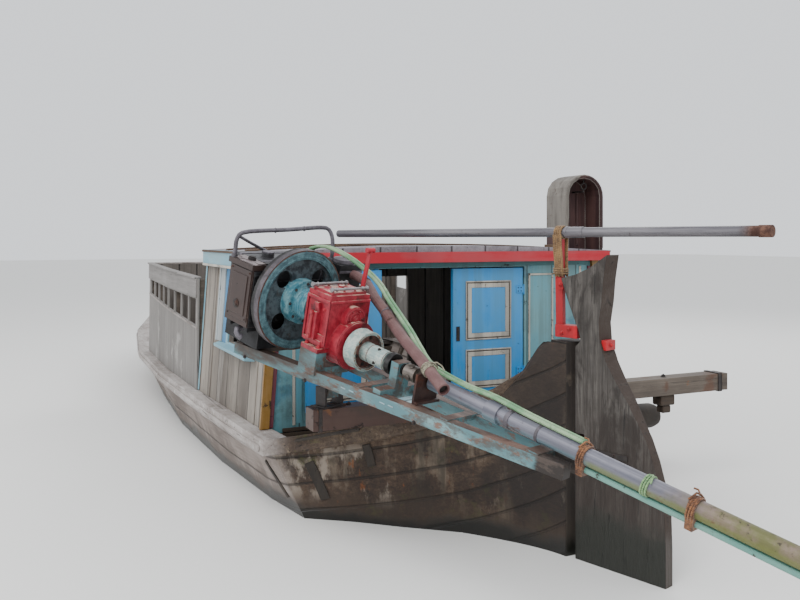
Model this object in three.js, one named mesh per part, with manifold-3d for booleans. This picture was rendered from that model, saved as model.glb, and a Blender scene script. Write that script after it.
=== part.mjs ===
// Wooden river cargo boat with a longtail engine on its port quarter and a hung stern rudder.
// Millimetres. +X starboard, +Y forward, +Z up. The origin is amidships, on the centreline, at the waterline.
import * as THREE from "three";
import { mergeVertices } from "three/addons/utils/BufferGeometryUtils.js";
import Module from "manifold-3d";

const wasm = await Module();
wasm.setup();

// Driving dimensions
const GAP = 0.3;
const PLANK = 35;
const GUNWALE_T = 30;
const GUNWALE_W = 150;
const RUB_DEPTH = 95;
const STERN_Y = -4400;
const POST_AFT_Y = -4600;
const HORN_TOP_Z = 1110;
const KEEL_HALF = 60;
const DECK_Z = 430;
const FLOOR_Z = -150;
const BULKHEAD_Y = -3150;
const CABIN_FRONT_Y = -1700;
const HOLD_FRONT_Y = 700;
const WALL_T = 30;
const ROOF_Z = 1500;
const ROOF_T = 60;
const ROOF_CROWN = 40;
const BEAM = { x0: -1240, x1: 1680, y0: -4000, y1: -3880, z0: 635, z1: 745 };
const TAIL = { x: -1250, y: -3900, z: 1200, yaw: 19.5, pitch: 12.7 };
const TILT_PIN = { x: 100, y: -155, z: -340, r: 12 };
const TUBE = { front: -950, end: -4470, r: 35, bore: 28 };
const SHAFT_R = 18;
const RUDDER_TURN = 17;
const RUDDER_Y = -4640;
const TILLER_Z = 1680;
const DOOR_T = 30;

// Hull stations: y, half breadth and height of the gunwale's outer top edge, half breadth afloat, keel height
const STATIONS = [
  [-4400, 120, 980, 75, -400],
  [-4250, 300, 830, 160, -410],
  [-4050, 540, 700, 400, -420],
  [-3850, 800, 610, 640, -430],
  [-3640, 1090, 540, 870, -430],
  [-3460, 1360, 485, 1110, -430],
  [-3000, 1390, 480, 1180, -430],
  [-2000, 1440, 480, 1258, -430],
  [-600, 1480, 485, 1285, -430],
  [900, 1450, 505, 1200, -430],
  [2200, 1290, 560, 1000, -425],
  [3200, 980, 660, 660, -400],
  [4000, 560, 800, 280, -330],
  [4400, 220, 920, 80, -230],
];

const group = new THREE.Group();
export default group;

// Geometry tools
function bare(geometry) {
  const copy = geometry.clone();
  copy.deleteAttribute("normal");
  copy.deleteAttribute("uv");
  return mergeVertices(copy, 1e-4);
}

function solid(geometry) {
  const merged = bare(geometry);
  const vertProperties = new Float32Array(merged.attributes.position.array);
  const triVerts = new Uint32Array(merged.index.array);
  return new wasm.Manifold(new wasm.Mesh({ numProp: 3, vertProperties, triVerts }));
}

function geometryOf(manifold) {
  const mesh = manifold.getMesh();
  const geometry = new THREE.BufferGeometry();
  geometry.setAttribute("position", new THREE.BufferAttribute(new Float32Array(mesh.vertProperties), 3));
  geometry.setIndex(new THREE.BufferAttribute(new Uint32Array(mesh.triVerts), 1));
  return geometry;
}

function join(...geometries) {
  return geometryOf(geometries.map(solid).reduce((sum, next) => sum.add(next)));
}

function cut(geometry, ...tools) {
  return geometryOf(tools.map(solid).reduce((rest, tool) => rest.subtract(tool), solid(geometry)));
}

function common(geometry, tool) {
  return geometryOf(solid(geometry).intersect(solid(tool)));
}

function box(x0, x1, y0, y1, z0, z1) {
  const geometry = new THREE.BoxGeometry(x1 - x0, y1 - y0, z1 - z0);
  return geometry.translate((x0 + x1) / 2, (y0 + y1) / 2, (z0 + z1) / 2);
}

// An outline of [y, z] points, extruded across x from x0 to x1
function profile(points, x0, x1) {
  const shape = new THREE.Shape(points.map(([y, z]) => new THREE.Vector2(y, z)));
  const geometry = new THREE.ExtrudeGeometry(shape, { depth: x1 - x0, bevelEnabled: false });
  const toYZ = new THREE.Matrix4().set(0, 0, 1, x0, 1, 0, 0, 0, 0, 1, 0, 0, 0, 0, 0, 1);
  return geometry.applyMatrix4(toYZ);
}

// An outline of [x, z] points, extruded along y from y0 to y1
function wall(points, y0, y1) {
  const shape = new THREE.Shape(points.map(([x, z]) => new THREE.Vector2(x, z)));
  const geometry = new THREE.ExtrudeGeometry(shape, { depth: y1 - y0, bevelEnabled: false });
  const toXZ = new THREE.Matrix4().set(1, 0, 0, 0, 0, 0, -1, y1, 0, 1, 0, 0, 0, 0, 0, 1);
  return geometry.applyMatrix4(toXZ);
}

// A cylinder along y
function drum(radius, y0, y1, x = 0, z = 0, sides = 32) {
  return new THREE.CylinderGeometry(radius, radius, y1 - y0, sides).translate(x, (y0 + y1) / 2, z);
}

// A cylinder along x
function pin(radius, x0, x1, y, z, sides = 20) {
  const geometry = new THREE.CylinderGeometry(radius, radius, x1 - x0, sides).rotateZ(Math.PI / 2);
  return geometry.translate((x0 + x1) / 2, y, z);
}

// A ring section turned about y: pairs of [radius, y] that close on themselves
function turned(points, sides = 40) {
  const section = [...points, points[0]].map(([radius, y]) => new THREE.Vector2(radius, y));
  const lathe = new THREE.LatheGeometry(section, sides);
  return volume(lathe) < 0 ? flipped(lathe) : lathe;
}

// A round rod or tube along a path of [x, y, z] points
function rod(points, radius, { bore = 0, steps = 24, sides = 10 } = {}) {
  const knots = points.map((point) => new THREE.Vector3(...point));
  const path = new THREE.CatmullRomCurve3(knots, false, "centripetal");
  const circle = (size) => Array.from({ length: sides }, (unused, index) => {
    const angle = (2 * Math.PI * index) / sides;
    return new THREE.Vector2(size * Math.cos(angle), size * Math.sin(angle));
  });
  const shape = new THREE.Shape(circle(radius));
  if (bore > 0) {
    shape.holes.push(new THREE.Path(circle(bore).reverse()));
  }
  return new THREE.ExtrudeGeometry(shape, { extrudePath: path, steps, bevelEnabled: false });
}

// A straight bar between two [x, y, z] points, of a given width across and depth upright
function bar(from, to, width, depth) {
  const start = new THREE.Vector3(...from);
  const end = new THREE.Vector3(...to);
  const along = end.clone().sub(start);
  const geometry = new THREE.BoxGeometry(width, along.length(), depth);
  const side = new THREE.Vector3(0, 0, 1).cross(along.clone().normalize()).normalize().negate();
  const upright = new THREE.Vector3().crossVectors(side, along.clone().normalize());
  const frame = new THREE.Matrix4().makeBasis(side, along.clone().normalize(), upright);
  frame.setPosition(start.add(end).multiplyScalar(0.5));
  return geometry.applyMatrix4(frame);
}

// Rings of equal length are skinned in order and capped at both ends
function loft(rings) {
  const count = rings[0].length;
  const positions = rings.flat(2);
  const index = [];
  for (let row = 0; row + 1 < rings.length; row += 1) {
    for (let col = 0; col < count; col += 1) {
      const a = row * count + col;
      const b = row * count + ((col + 1) % count);
      index.push(a, b, b + count, a, b + count, a + count);
    }
  }
  const flat = (ring) => ring.map(([x, y, z]) => new THREE.Vector2(x + y * 0.01, z));
  const turns = THREE.ShapeUtils.area(flat(rings[0])) > 0;
  for (const row of [0, rings.length - 1]) {
    const start = row * count;
    for (const [a, b, c] of THREE.ShapeUtils.triangulateShape(flat(rings[row]), [])) {
      const face = [start + a, start + b, start + c];
      index.push(...(turns === (row === 0) ? face.reverse() : face));
    }
  }
  const geometry = new THREE.BufferGeometry();
  geometry.setAttribute("position", new THREE.BufferAttribute(new Float32Array(positions), 3));
  geometry.setIndex(index);
  return volume(geometry) < 0 ? flipped(geometry) : geometry;
}

function volume(geometry) {
  const { position } = geometry.attributes;
  const corner = [new THREE.Vector3(), new THREE.Vector3(), new THREE.Vector3()];
  let total = 0;
  for (let face = 0; face < geometry.index.count; face += 3) {
    corner.forEach((point, offset) => {
      point.fromBufferAttribute(position, geometry.index.array[face + offset]);
    });
    total += corner[0].dot(corner[1].clone().cross(corner[2]));
  }
  return total;
}

function flipped(geometry) {
  geometry.setIndex(Array.from(geometry.index.array).reverse());
  return geometry;
}

// Named meshes
const PAINT = {
  grey_wood: [0x8b857c, 0.85, 0],
  dark_wood: [0x3a332c, 0.8, 0],
  brown_wood: [0x5b4433, 0.8, 0],
  teal: [0x4f9799, 0.6, 0],
  sky_blue: [0x3f9bd8, 0.55, 0],
  pale_blue: [0x9cc8d2, 0.6, 0],
  red: [0xb5202c, 0.5, 0],
  ochre: [0xa9743a, 0.7, 0],
  iron: [0x4a4440, 0.6, 0.5],
  brown_iron: [0x5a3f38, 0.65, 0.4],
  steel: [0x77777b, 0.45, 0.8],
  gear_red: [0xb3232b, 0.45, 0.2],
  blue_iron: [0x5f8a96, 0.55, 0.3],
  hose_green: [0x6fa572, 0.6, 0],
};

function place(parent, name, paint, geometry) {
  const [color, roughness, metalness] = PAINT[paint];
  const mesh = new THREE.Mesh(geometry, new THREE.MeshStandardMaterial({ color, roughness, metalness }));
  mesh.name = name;
  parent.add(mesh);
  return mesh;
}

// Sheer line read between stations
function sheerAt(y) {
  const row = Math.max(1, STATIONS.findIndex((station) => station[0] >= y));
  const [before, after] = [STATIONS[row - 1], STATIONS[row]];
  const share = (y - before[0]) / (after[0] - before[0]);
  return [1, 2].map((column) => before[column] + share * (after[column] - before[column]));
}

// Hull skin, inset from the outer face by the given amount
function hullRing([y, sheerHalf, sheerZ, waterHalf, keelZ], inset, topRise) {
  const half = (size) => Math.max(size - inset, 12);
  const top = sheerZ - GUNWALE_T;
  const flare = (half(sheerHalf - PLANK) - half(waterHalf)) / top;
  const points = [
    [half(sheerHalf - PLANK) + flare * topRise, top + topRise],
    [half(waterHalf), 0],
    [half(waterHalf * 0.86), keelZ * 0.55],
    [half(waterHalf * 0.52), keelZ * 0.9 + inset],
  ];
  const keel = [[0, y, keelZ + inset]];
  const port = points.map(([x, z]) => [-x, y, z]);
  const starboard = points.map(([x, z]) => [x, y, z]).reverse();
  return [...port, ...keel, ...starboard];
}

const outerHull = loft(STATIONS.map((row) => hullRing(row, 0, 0)));
const hollowRows = STATIONS.slice(1, -1);
const hollow = loft(hollowRows.map((row) => hullRing(row, PLANK, 200)));
const fitted = loft(hollowRows.map((row) => hullRing(row, PLANK + GAP, 200)));

function buildHull() {
  place(group, "hull_shell", "dark_wood", cut(outerHull, hollow));
  const keelTop = STATIONS.map(([y, , , , keelZ]) => [y, keelZ - GAP]);
  const keelOutline = [...keelTop, [4400, -290], [3600, -470], [STERN_Y, -480]];
  place(group, "keel", "dark_wood", profile(keelOutline, -KEEL_HALF, KEEL_HALF));
  const post = [
    [POST_AFT_Y, -480],
    [STERN_Y - GAP, -480],
    [STERN_Y - GAP, 985],
    [STERN_Y + 20, 995],
    [STERN_Y - 70, HORN_TOP_Z],
    [POST_AFT_Y, HORN_TOP_Z],
  ];
  place(group, "stern_post", "dark_wood", profile(post, -70, 70));
  const stem = [
    [4400 + GAP, -290],
    [4480, -250],
    [4700, 940],
    [4740, 1160],
    [4600, 1180],
    [4500, 960],
    [4400 + GAP, 925],
  ];
  place(group, "stem_post", "dark_wood", profile(stem, -55, 55));
  const layer = (y0, y1, z0, z1) => common(fitted, box(-2000, 2000, y0, y1, z0, z1));
  place(group, "stern_deck", "grey_wood", layer(-4330, BULKHEAD_Y - 60, DECK_Z - 35, DECK_Z));
  place(group, "fore_deck", "grey_wood", layer(HOLD_FRONT_Y + 40, 4200, 420, 455));
  place(group, "floor_boards", "grey_wood", layer(-3600, 3000, FLOOR_Z - 40, FLOOR_Z));
  place(group, "stern_frame", "grey_wood", frameAt(-3700));
  place(group, "hold_frame_aft", "grey_wood", frameAt(CABIN_FRONT_Y));
  place(group, "hold_frame_fore", "grey_wood", frameAt(HOLD_FRONT_Y));
}

// A cross frame of the hull: a board from side to side, standing on the floor, with a crawl opening
function frameAt(y) {
  const top = y < BULKHEAD_Y || y > 0 ? Math.min(DECK_Z - 35, 420) - GAP : 200;
  const board = common(fitted, box(-2000, 2000, y, y + 40, FLOOR_Z + GAP, top));
  return y === CABIN_FRONT_Y ? board : cut(board, box(-300, 300, y - 10, y + 50, -60, top - 90));
}

// Gunwale plank with a rub strake below its outer edge, along one side
function gunwale(side) {
  const rings = STATIONS.map(([y, half, z]) => {
    const width = Math.min(GUNWALE_W, half - 20);
    const skin = PLANK - GAP;
    const section = [
      [0, -RUB_DEPTH],
      [0, 0],
      [-width, 0],
      [-width, -GUNWALE_T + GAP],
      [-skin, -GUNWALE_T + GAP],
      [-skin, -RUB_DEPTH],
    ];
    return section.map(([out, up]) => [side * (half + out), y, z + up]);
  });
  return loft(rings);
}

function buildGunwales() {
  place(group, "gunwale_port", "grey_wood", gunwale(-1));
  place(group, "gunwale_starboard", "grey_wood", gunwale(1));
}

// Cabin side walls lean in and follow the gunwale: y, half breadth at the foot, half breadth at the top
const CABIN_ROWS = [
  [BULKHEAD_Y + GAP, 1290, 1215],
  [CABIN_FRONT_Y, 1360, 1290],
];
const HOLD_ROWS = [
  [CABIN_FRONT_Y + 40, 1375, 1365],
  [-500, 1400, 1390],
  [HOLD_FRONT_Y, 1380, 1370],
];
const BULWARK_T = 16;

// Heights along the bulwarks, as [at the cabin, at the hold's front]
const BULWARK_TOP = [1336, 1388];
const SLOT_HIGH = [1176, 1233];
const SLOT_LOW = [964, 1097];
const SLOTS = { from: -1600, width: 250, step: 280, count: 8 };

function alongHold([aft, fore], y) {
  const share = (y - CABIN_FRONT_Y) / (HOLD_FRONT_Y - CABIN_FRONT_Y);
  return aft + (fore - aft) * share;
}

function sideWall(rows, side, low, high, thickness) {
  return loft(rows.map(([y, foot, top]) => {
    const floor = low(y);
    const head = high(y);
    const at = (z) => foot + ((top - foot) * (z - 510)) / (ROOF_Z - 510);
    const ring = [
      [at(floor), floor],
      [at(head), head],
      [at(head) - thickness, head],
      [at(floor) - thickness, floor],
    ];
    return ring.map(([x, z]) => [side * x, y, z]);
  }));
}

const onGunwale = (y) => sheerAt(y)[1] + GAP;
const underRoof = () => ROOF_Z - GAP;

function bulwark(side) {
  const panel = sideWall(HOLD_ROWS, side, onGunwale, (y) => alongHold(BULWARK_TOP, y), BULWARK_T);
  const slots = Array.from({ length: SLOTS.count }, (_, index) => {
    const y = SLOTS.from + index * SLOTS.step;
    const ends = [y, y + SLOTS.width];
    return loft(ends.map((at) => {
      const low = alongHold(SLOT_LOW, at);
      const high = alongHold(SLOT_HIGH, at);
      return [[1200, low], [1500, low], [1500, high], [1200, high]].map(([x, z]) => [side * x, at, z]);
    }));
  });
  return cut(panel, ...slots);
}

function buildCabin() {
  for (const [side, name] of [[-1, "port"], [1, "starboard"]]) {
    const whole = sideWall(CABIN_ROWS, side, onGunwale, underRoof, WALL_T);
    const window = side < 0
      ? box(-1500, -1100, -2920, -2380, 930, 1330)
      : box(1100, 1500, -2720, -2060, 930, 1330);
    place(group, `cabin_wall_${name}`, "grey_wood", cut(whole, window));
    place(group, `bulwark_${name}`, "grey_wood", bulwark(side));
  }
  const aft = [
    [-1290, 483], [-1222, 483], [-1222, 449], [1222, 449], [1222, 483], [1290, 483],
    [1215, ROOF_Z - GAP], [-1215, ROOF_Z - GAP],
  ];
  const doorway = box(-510, 606, BULKHEAD_Y - 50, BULKHEAD_Y + 10, 560, 1450);
  place(group, "aft_bulkhead", "teal", cut(wall(aft, BULKHEAD_Y - WALL_T, BULKHEAD_Y), doorway));
  const sillBack = BULKHEAD_Y - WALL_T - 20;
  const below = box(-2000, 2000, sillBack, BULKHEAD_Y - 1, FLOOR_Z + GAP, 448);
  place(group, "bulkhead_sill", "brown_wood", common(fitted, below));
  const fore = [[-1325, 482], [1325, 482], [1255, ROOF_Z - GAP], [-1255, ROOF_Z - GAP]];
  const passage = box(-380, 380, CABIN_FRONT_Y - 100, CABIN_FRONT_Y + 10, 470, 1330);
  const foreWall = wall(fore, CABIN_FRONT_Y - 60, CABIN_FRONT_Y - 30);
  place(group, "fore_bulkhead", "grey_wood", cut(foreWall, passage));
  const front = [[-1340, 502.7], [1340, 502.7], [1340, 1380], [-1340, 1380]];
  place(group, "hold_front_board", "grey_wood", wall(front, HOLD_FRONT_Y - 30, HOLD_FRONT_Y));
  for (const [side, name] of [[-1, "port"], [1, "starboard"]]) {
    const post = [
      [1250 * side, 485.6],
      [1306 * side, 485.6],
      [1230 * side, ROOF_Z - GAP],
      [1174 * side, ROOF_Z - GAP],
    ];
    const outline = side < 0 ? post.reverse() : post;
    const face = BULKHEAD_Y - WALL_T;
    place(group, `corner_post_${name}`, "ochre", wall(outline, face - 26, face - GAP));
  }
}

// Roof slab with a crown on its top face
function buildRoof() {
  const rows = [[BULKHEAD_Y - 80, 1300], [CABIN_FRONT_Y + 60, 1300]];
  const rings = rows.map(([y, half]) => {
    const crown = [-1, -0.6, -0.25, 0.25, 0.6, 1].map((share) => {
      const rise = ROOF_CROWN * (1 - share * share);
      return [share * half, y, ROOF_Z + ROOF_T + rise];
    });
    return [...crown, [half, y, ROOF_Z], [-half, y, ROOF_Z]];
  });
  const slab = loft(rings);
  place(group, "roof", "grey_wood", slab);
  const aftY = rows[0][0];
  place(group, "fascia_aft", "red", box(-1300, 1300, aftY - 25, aftY - GAP, ROOF_Z - 12, ROOF_Z + 58));
  for (const [side, name] of [[-1, "port"], [1, "starboard"]]) {
    const fascia = rows.map(([y, half]) => {
      const ring = [[half + GAP, 1440], [half + 22, 1440], [half + 22, 1562], [half + GAP, 1562]];
      return ring.map(([x, z]) => [side * x, y, z]);
    });
    place(group, `fascia_${name}`, "pale_blue", loft(fascia));
  }
  place(group, "roof_cowl", "brown_iron", cut(cowl(), slab.clone().translate(0, 0, GAP)));
}

// Hooded shell that stands on the roof's starboard corner, open on its aft face
const COWL = { x: 1135, halfWidth: 165, springZ: 1960, rise: 155, aft: -3170, fore: -2930, wall: 28 };
const COWL_FOOT_Z = 1540;

function cowl() {
  const hood = (inset, y0, y1) => {
    const reach = COWL.halfWidth - inset;
    const arch = Array.from({ length: 9 }, (unused, step) => {
      const angle = Math.PI * (1 - step / 8);
      const up = (COWL.rise - inset) * Math.sin(angle);
      return [COWL.x + reach * Math.cos(angle), COWL.springZ + up];
    });
    const feet = [-1, 1].map((side) => [COWL.x + side * reach, COWL_FOOT_Z]);
    return wall([feet[0], ...arch, feet[1]], y0, y1);
  };
  return cut(hood(0, COWL.aft, COWL.fore), hood(COWL.wall, COWL.aft - 10, COWL.fore - 70));
}

// Door leaves hinge on the two sides of the doorway: hinge x, leaf direction, name, angle at rest
const DOORS = [
  { name: "door_port", hinge: -504, to: 1, width: 520, rest: -178 },
  { name: "door_starboard", hinge: 600, to: -1, width: 564, rest: 0 },
];
const DOOR_LOW = 568;
const DOOR_HIGH = 1442;
const DOOR_PIN_Y = BULKHEAD_Y - WALL_T - 6;

function buildDoors() {
  for (const { name, hinge, to, width, rest } of DOORS) {
    const swing = new THREE.Group();
    swing.position.set(hinge, DOOR_PIN_Y, 0);
    swing.rotation.z = (rest * Math.PI) / 180;
    group.add(swing);
    const [near, far] = [to * 6, to * width].sort((a, b) => a - b);
    const leaf = box(near, far, 6, 6 + DOOR_T, DOOR_LOW, DOOR_HIGH);
    const knuckles = [720, 1290].map((z) => (
      new THREE.CylinderGeometry(5, 5, 70, 12).rotateX(Math.PI / 2).translate(0, 0, z)
    ));
    const straps = [720, 1290].map((z) => {
      const [start, end] = [to * -2, to * 60].sort((a, b) => a - b);
      return box(start, end, 1, 7, z - 25, z + 25);
    });
    place(swing, name, "sky_blue", join(leaf, ...knuckles, ...straps));
  }
}

// Crossbeam laid over both quarters, notched where it meets the gunwales
function buildBeam() {
  const { x0, x1, y0, y1, z0, z1 } = BEAM;
  const notch = (side) => {
    const rings = STATIONS.slice(1, 5).map(([y, half, z]) => {
      const section = [[6, -110], [6, GAP], [-GUNWALE_W - 6, GAP], [-GUNWALE_W - 6, -110]];
      return section.map(([out, up]) => [side * (half + out), y, z + up]);
    });
    return loft(rings);
  };
  place(group, "crossbeam", "grey_wood", cut(box(x0, x1, y0, y1, z0, z1), notch(-1), notch(1)));
}

// The bearer stands on the crossbeam and carries the tilt pin of the longtail
const tail = new THREE.Group();
tail.position.set(TAIL.x, TAIL.y, TAIL.z);
tail.rotation.set((TAIL.pitch * Math.PI) / 180, 0, (TAIL.yaw * Math.PI) / 180, "ZXY");
group.add(tail);
tail.updateMatrixWorld(true);
const pinWorld = new THREE.Vector3(TILT_PIN.x, TILT_PIN.y, TILT_PIN.z).applyMatrix4(tail.matrixWorld);

function buildBearer() {
  const stand = new THREE.Group();
  stand.position.copy(pinWorld);
  stand.rotation.z = tail.rotation.z;
  group.add(stand);
  const floor = BEAM.z1 + GAP - pinWorld.z;
  const lugs = [-62, 50].map((x) => box(x, x + 12, -40, 40, floor, 26));
  const base = box(-75, 75, -48, 48, floor, floor + 14);
  place(stand, "tail_bearer", "iron", join(base, ...lugs, pin(TILT_PIN.r, -62, 62, 0, 0)));
}

// Engine, gearbox and frame, in the tail's own frame: -Y runs aft along the propeller shaft
const CRANK = { x: -55, z: 123 };
const RAIL = { front: [199, 300, -214], back: [52, -1750, -72], width: 56, depth: 60 };

const GEARBOX_FOOT_Z = -45;

function railTopAt(y) {
  const share = (RAIL.front[1] - y) / (RAIL.front[1] - RAIL.back[1]);
  const x = RAIL.front[0] + share * (RAIL.back[0] - RAIL.front[0]);
  const z = RAIL.front[2] + share * (RAIL.back[2] - RAIL.front[2]);
  return { x, z: z + RAIL.depth / 2 };
}

function buildFrame() {
  const rails = [-1, 1].map((side) => bar(
    [side * RAIL.front[0], RAIL.front[1], RAIL.front[2]],
    [side * RAIL.back[0], RAIL.back[1], RAIL.back[2]],
    RAIL.width,
    RAIL.depth,
  ));
  const crossAt = (y, width) => {
    const { x, z } = railTopAt(y);
    return box(-x - 20, x + 20, y - width / 2, y + width / 2, z - 20, z + 6);
  };
  const crossRows = [[265, 60], [150, 60], [-620, 45], [-1150, 45], [-1600, 60]];
  const cross = crossRows.map(([y, width]) => crossAt(y, width));
  const { y, z } = TILT_PIN;
  const saddle = box(-150, 175, y - 40, y + 40, -232, -188);
  const eye = cut(
    box(TILT_PIN.x - 40, TILT_PIN.x + 40, y - 34, y + 34, z - 30, -205),
    pin(TILT_PIN.r + 0.4, TILT_PIN.x - 60, TILT_PIN.x + 60, y, z),
  );
  const seat = railTopAt(-740);
  const tie = box(-seat.x - 10, seat.x + 10, -765, -715, seat.z - 30, seat.z + 22);
  const bearing = join(tie, box(-42, 42, -765, -715, seat.z, 30));
  const pillow = cut(bearing, drum(SHAFT_R + GAP, -800, -700));
  const standFoot = railTopAt(-345).z - 20;
  const stands = [-190, 126].map((x) => box(x, x + 64, -345, -215, standFoot, GEARBOX_FOOT_Z - GAP));
  place(tail, "engine_frame", "blue_iron", join(...rails, ...cross, ...stands, saddle, eye, pillow));
  const bracketFoot = railTopAt(-960).z + 0.4;
  const plate = box(-90, 60, -938, -926, bracketFoot, 42);
  const flange = box(-90, 60, -960, -926, bracketFoot, bracketFoot + 12);
  const throat = drum(SHAFT_R + 6, -1000, -900);
  place(tail, "tube_bracket", "brown_iron", cut(join(plate, flange), throat));
}

function buildEngine() {
  const seat = railTopAt(250).z + 30;
  const footing = railTopAt(110).z + 7;
  const feet = [-230, 150].map((x) => box(x, x + 80, 110, 290, footing, seat + 20));
  const crankcase = box(-230, 240, 92, 400, seat - 10, 205);
  place(tail, "engine_block", "iron", join(crankcase, ...feet, drum(70, 60, 100, CRANK.x, CRANK.z)));
  const radiator = join(box(-312, -231, 95, 302, -38, 285), box(-324, -236, 88, 310, 268, 297));
  place(tail, "radiator_box", "brown_iron", radiator);
  const head = box(240 + GAP, 400, 60, 200, 40, 290);
  place(tail, "air_cleaner", "iron", head);
  const filler = drum(34, 0, 26).rotateX(Math.PI / 2).translate(-120, 250, 297);
  place(tail, "fuel_tank", "iron", join(box(-225, 200, 110, 390, 206, 300), filler));
  const hoop = rod([
    [-308, 285, 297.4],
    [-308, 285, 340],
    [-308, 285, 385],
    [-294, 283, 418],
    [-262, 280, 430],
    [0, 262, 449],
    [232, 244, 466],
    [262, 236, 461],
    [278, 215, 425],
    [276, 190, 350],
    [276, 190, 290.4],
  ], 12, { steps: 44 });
  place(tail, "engine_hoop", "steel", hoop);
}

function buildGearbox() {
  const upper = box(-150, 105, -350, -175, -20, 245);
  const lid = box(-135, 90, -335, -190, 240, 258);
  const lower = drum(122, -418, -270, 0, 0);
  const cap = drum(66, -385, -340, CRANK.x + 50, CRANK.z + 5);
  const foot = GEARBOX_FOOT_Z;
  const base = box(-190, 190, -345, -215, foot, foot + 22);
  const webs = [-160, 110].map((x) => box(x, x + 50, -340, -220, foot, 40));
  place(tail, "gearbox", "gear_red", join(upper, lid, lower, cap, base, ...webs));
  place(tail, "gear_lever", "gear_red", join(
    bar([118, -262, 150], [142, -262, 455], 24, 10),
    pin(9, 105 + GAP, 128, -262, 160),
    pin(14, 118, 166, -262, 455),
  ));
}

function buildTube() {
  const { front, end, r, bore } = TUBE;
  const body = turned([[r, front], [bore, front], [bore, end], [r, end]], 28);
  const free = SHAFT_R + GAP;
  const bush = (y) => turned([[r - 1, y], [free, y], [free, y - 50], [r - 1, y - 50]], 28);
  const collar = (y) => turned([[r + 9, y], [r - 2, y], [r - 2, y - 70], [r + 9, y - 70]], 28);
  const fin = profile([[-4440, -30], [-4420, -200], [-4330, -215], [-4080, -30]], -4, 4);
  const rings = [bush(front - 5), bush(end + 60), collar(-1290), collar(-4380)];
  place(tail, "tail_tube", "steel", join(body, ...rings, fin));
  const stay = rod([[0, -1785, -52], [0, -2700, -52], [0, -3700, -52]], 14, { steps: 8, sides: 10 });
  place(tail, "tail_stay", "blue_iron", stay);
  for (const [index, y] of [-1770, -2230, -3640].entries()) {
    const outline = new THREE.Shape();
    outline.absarc(0, 0, 43, 0, Math.PI, false);
    outline.lineTo(-24, -78);
    outline.lineTo(24, -78);
    const band = new THREE.ExtrudeGeometry(outline, { depth: 30, bevelEnabled: false, curveSegments: 16 });
    const upright = band.rotateX(Math.PI / 2).translate(0, y, 0);
    const shaped = cut(upright, drum(r + GAP, y - 60, y + 60), drum(14 + GAP, y - 60, y + 60, 0, -52));
    place(tail, `tube_band_${index + 1}`, "brown_iron", shaped);
  }
}

function buildPipes() {
  const exhaust = rod([
    [340, 59.4, 236],
    [340, 20, 236],
    [334, -50, 226],
    [300, -140, 207],
    [250, -240, 187],
    [190, -380, 165],
    [120, -530, 140],
    [40, -700, 118],
    [-30, -900, 84],
    [-110, -1120, 40],
  ], 27, { bore: 22, steps: 40, sides: 14 });
  place(tail, "exhaust_pipe", "brown_iron", exhaust);
  for (const [index, shift] of [0, 24].entries()) {
    const route = [
      [50 + shift, 140, 301],
      [50 + shift, 140, 330],
      [54 + shift, 124, 372],
      [92 + shift, 60, 402],
      [170 + shift, -50, 372],
      [252 + shift, -200, 285],
      [184 + shift, -420, 214],
      [106 + shift, -655, 142],
      [56 + shift, -780, 102],
      [14 + shift, -900, 68],
      [6 + shift, -1130, 50],
      [6 + shift, -1290, 57],
      [6 + shift, -1500, 48],
      [0 + shift, -1768, 46],
    ];
    place(tail, `coolant_hose_${index + 1}`, "hose_green", rod(route, 9, { steps: 50, sides: 8 }));
  }
}

function buildFlywheel() {
  const rim = turned([[272, 0], [272, 58], [222, 58], [222, 0]], 48);
  const web = drum(226, 14, 34, 0, 0, 40);
  const windows = [45, 135, 225, 315].map((angle) => {
    const turn = (angle * Math.PI) / 180;
    return drum(48, 0, 60, 160 * Math.cos(turn), 160 * Math.sin(turn), 20);
  });
  const hub = [drum(118, -40, 20), drum(80, -130, -30), drum(52, -174, -120), drum(30, 10, 59.7)];
  const wheel = join(cut(web, ...windows), rim, ...hub).translate(CRANK.x, 0, CRANK.z);
  place(tail, "flywheel", "blue_iron", wheel);
}

const BLADE_PITCH = 0.55;
const BLADE_OUTLINE = [[-14, 10], [14, 10], [42, 70], [36, 120], [8, 140], [-20, 128], [-38, 84]];

function buildShaft() {
  const dish = turned([[0, -432], [100, -432], [100, -510], [86, -510], [86, -492], [0, -492]], 32);
  const sleeve = drum(48, -660, -485, 0, 0, 24);
  place(tail, "shaft_coupling", "pale_blue", join(dish, sleeve, drum(34, -440, -418.5, 0, 0, 24)));
  const joint = drum(38, -860, -790, 0, 0, 20);
  place(tail, "propeller_shaft", "steel", join(drum(SHAFT_R, -4500, -660.3, 0, 0, 20), joint));
  const blades = [0, 120, 240].map((angle) => {
    const outline = new THREE.Shape(BLADE_OUTLINE.map(([x, y]) => new THREE.Vector2(x, y)));
    const blade = new THREE.ExtrudeGeometry(outline, { depth: 8, bevelEnabled: false }).translate(0, 0, -4);
    const pitched = blade.rotateX(Math.PI / 2).rotateZ(BLADE_PITCH);
    return pitched.rotateY((angle * Math.PI) / 180).translate(0, -4540, 0);
  });
  const boss = [drum(32, -4580, -4500.3, 0, 0, 20), drum(14, -4600, -4575, 0, 0, 16)];
  place(tail, "propeller", "steel", join(...boss, ...blades));
}

// Rudder in its own plane: y runs forward from the hinge, so aft is negative
const GUDGEONS = [-200, 620];
const PINTLE_R = 10;
const RUDDER_STARBOARD = 62;

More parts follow.
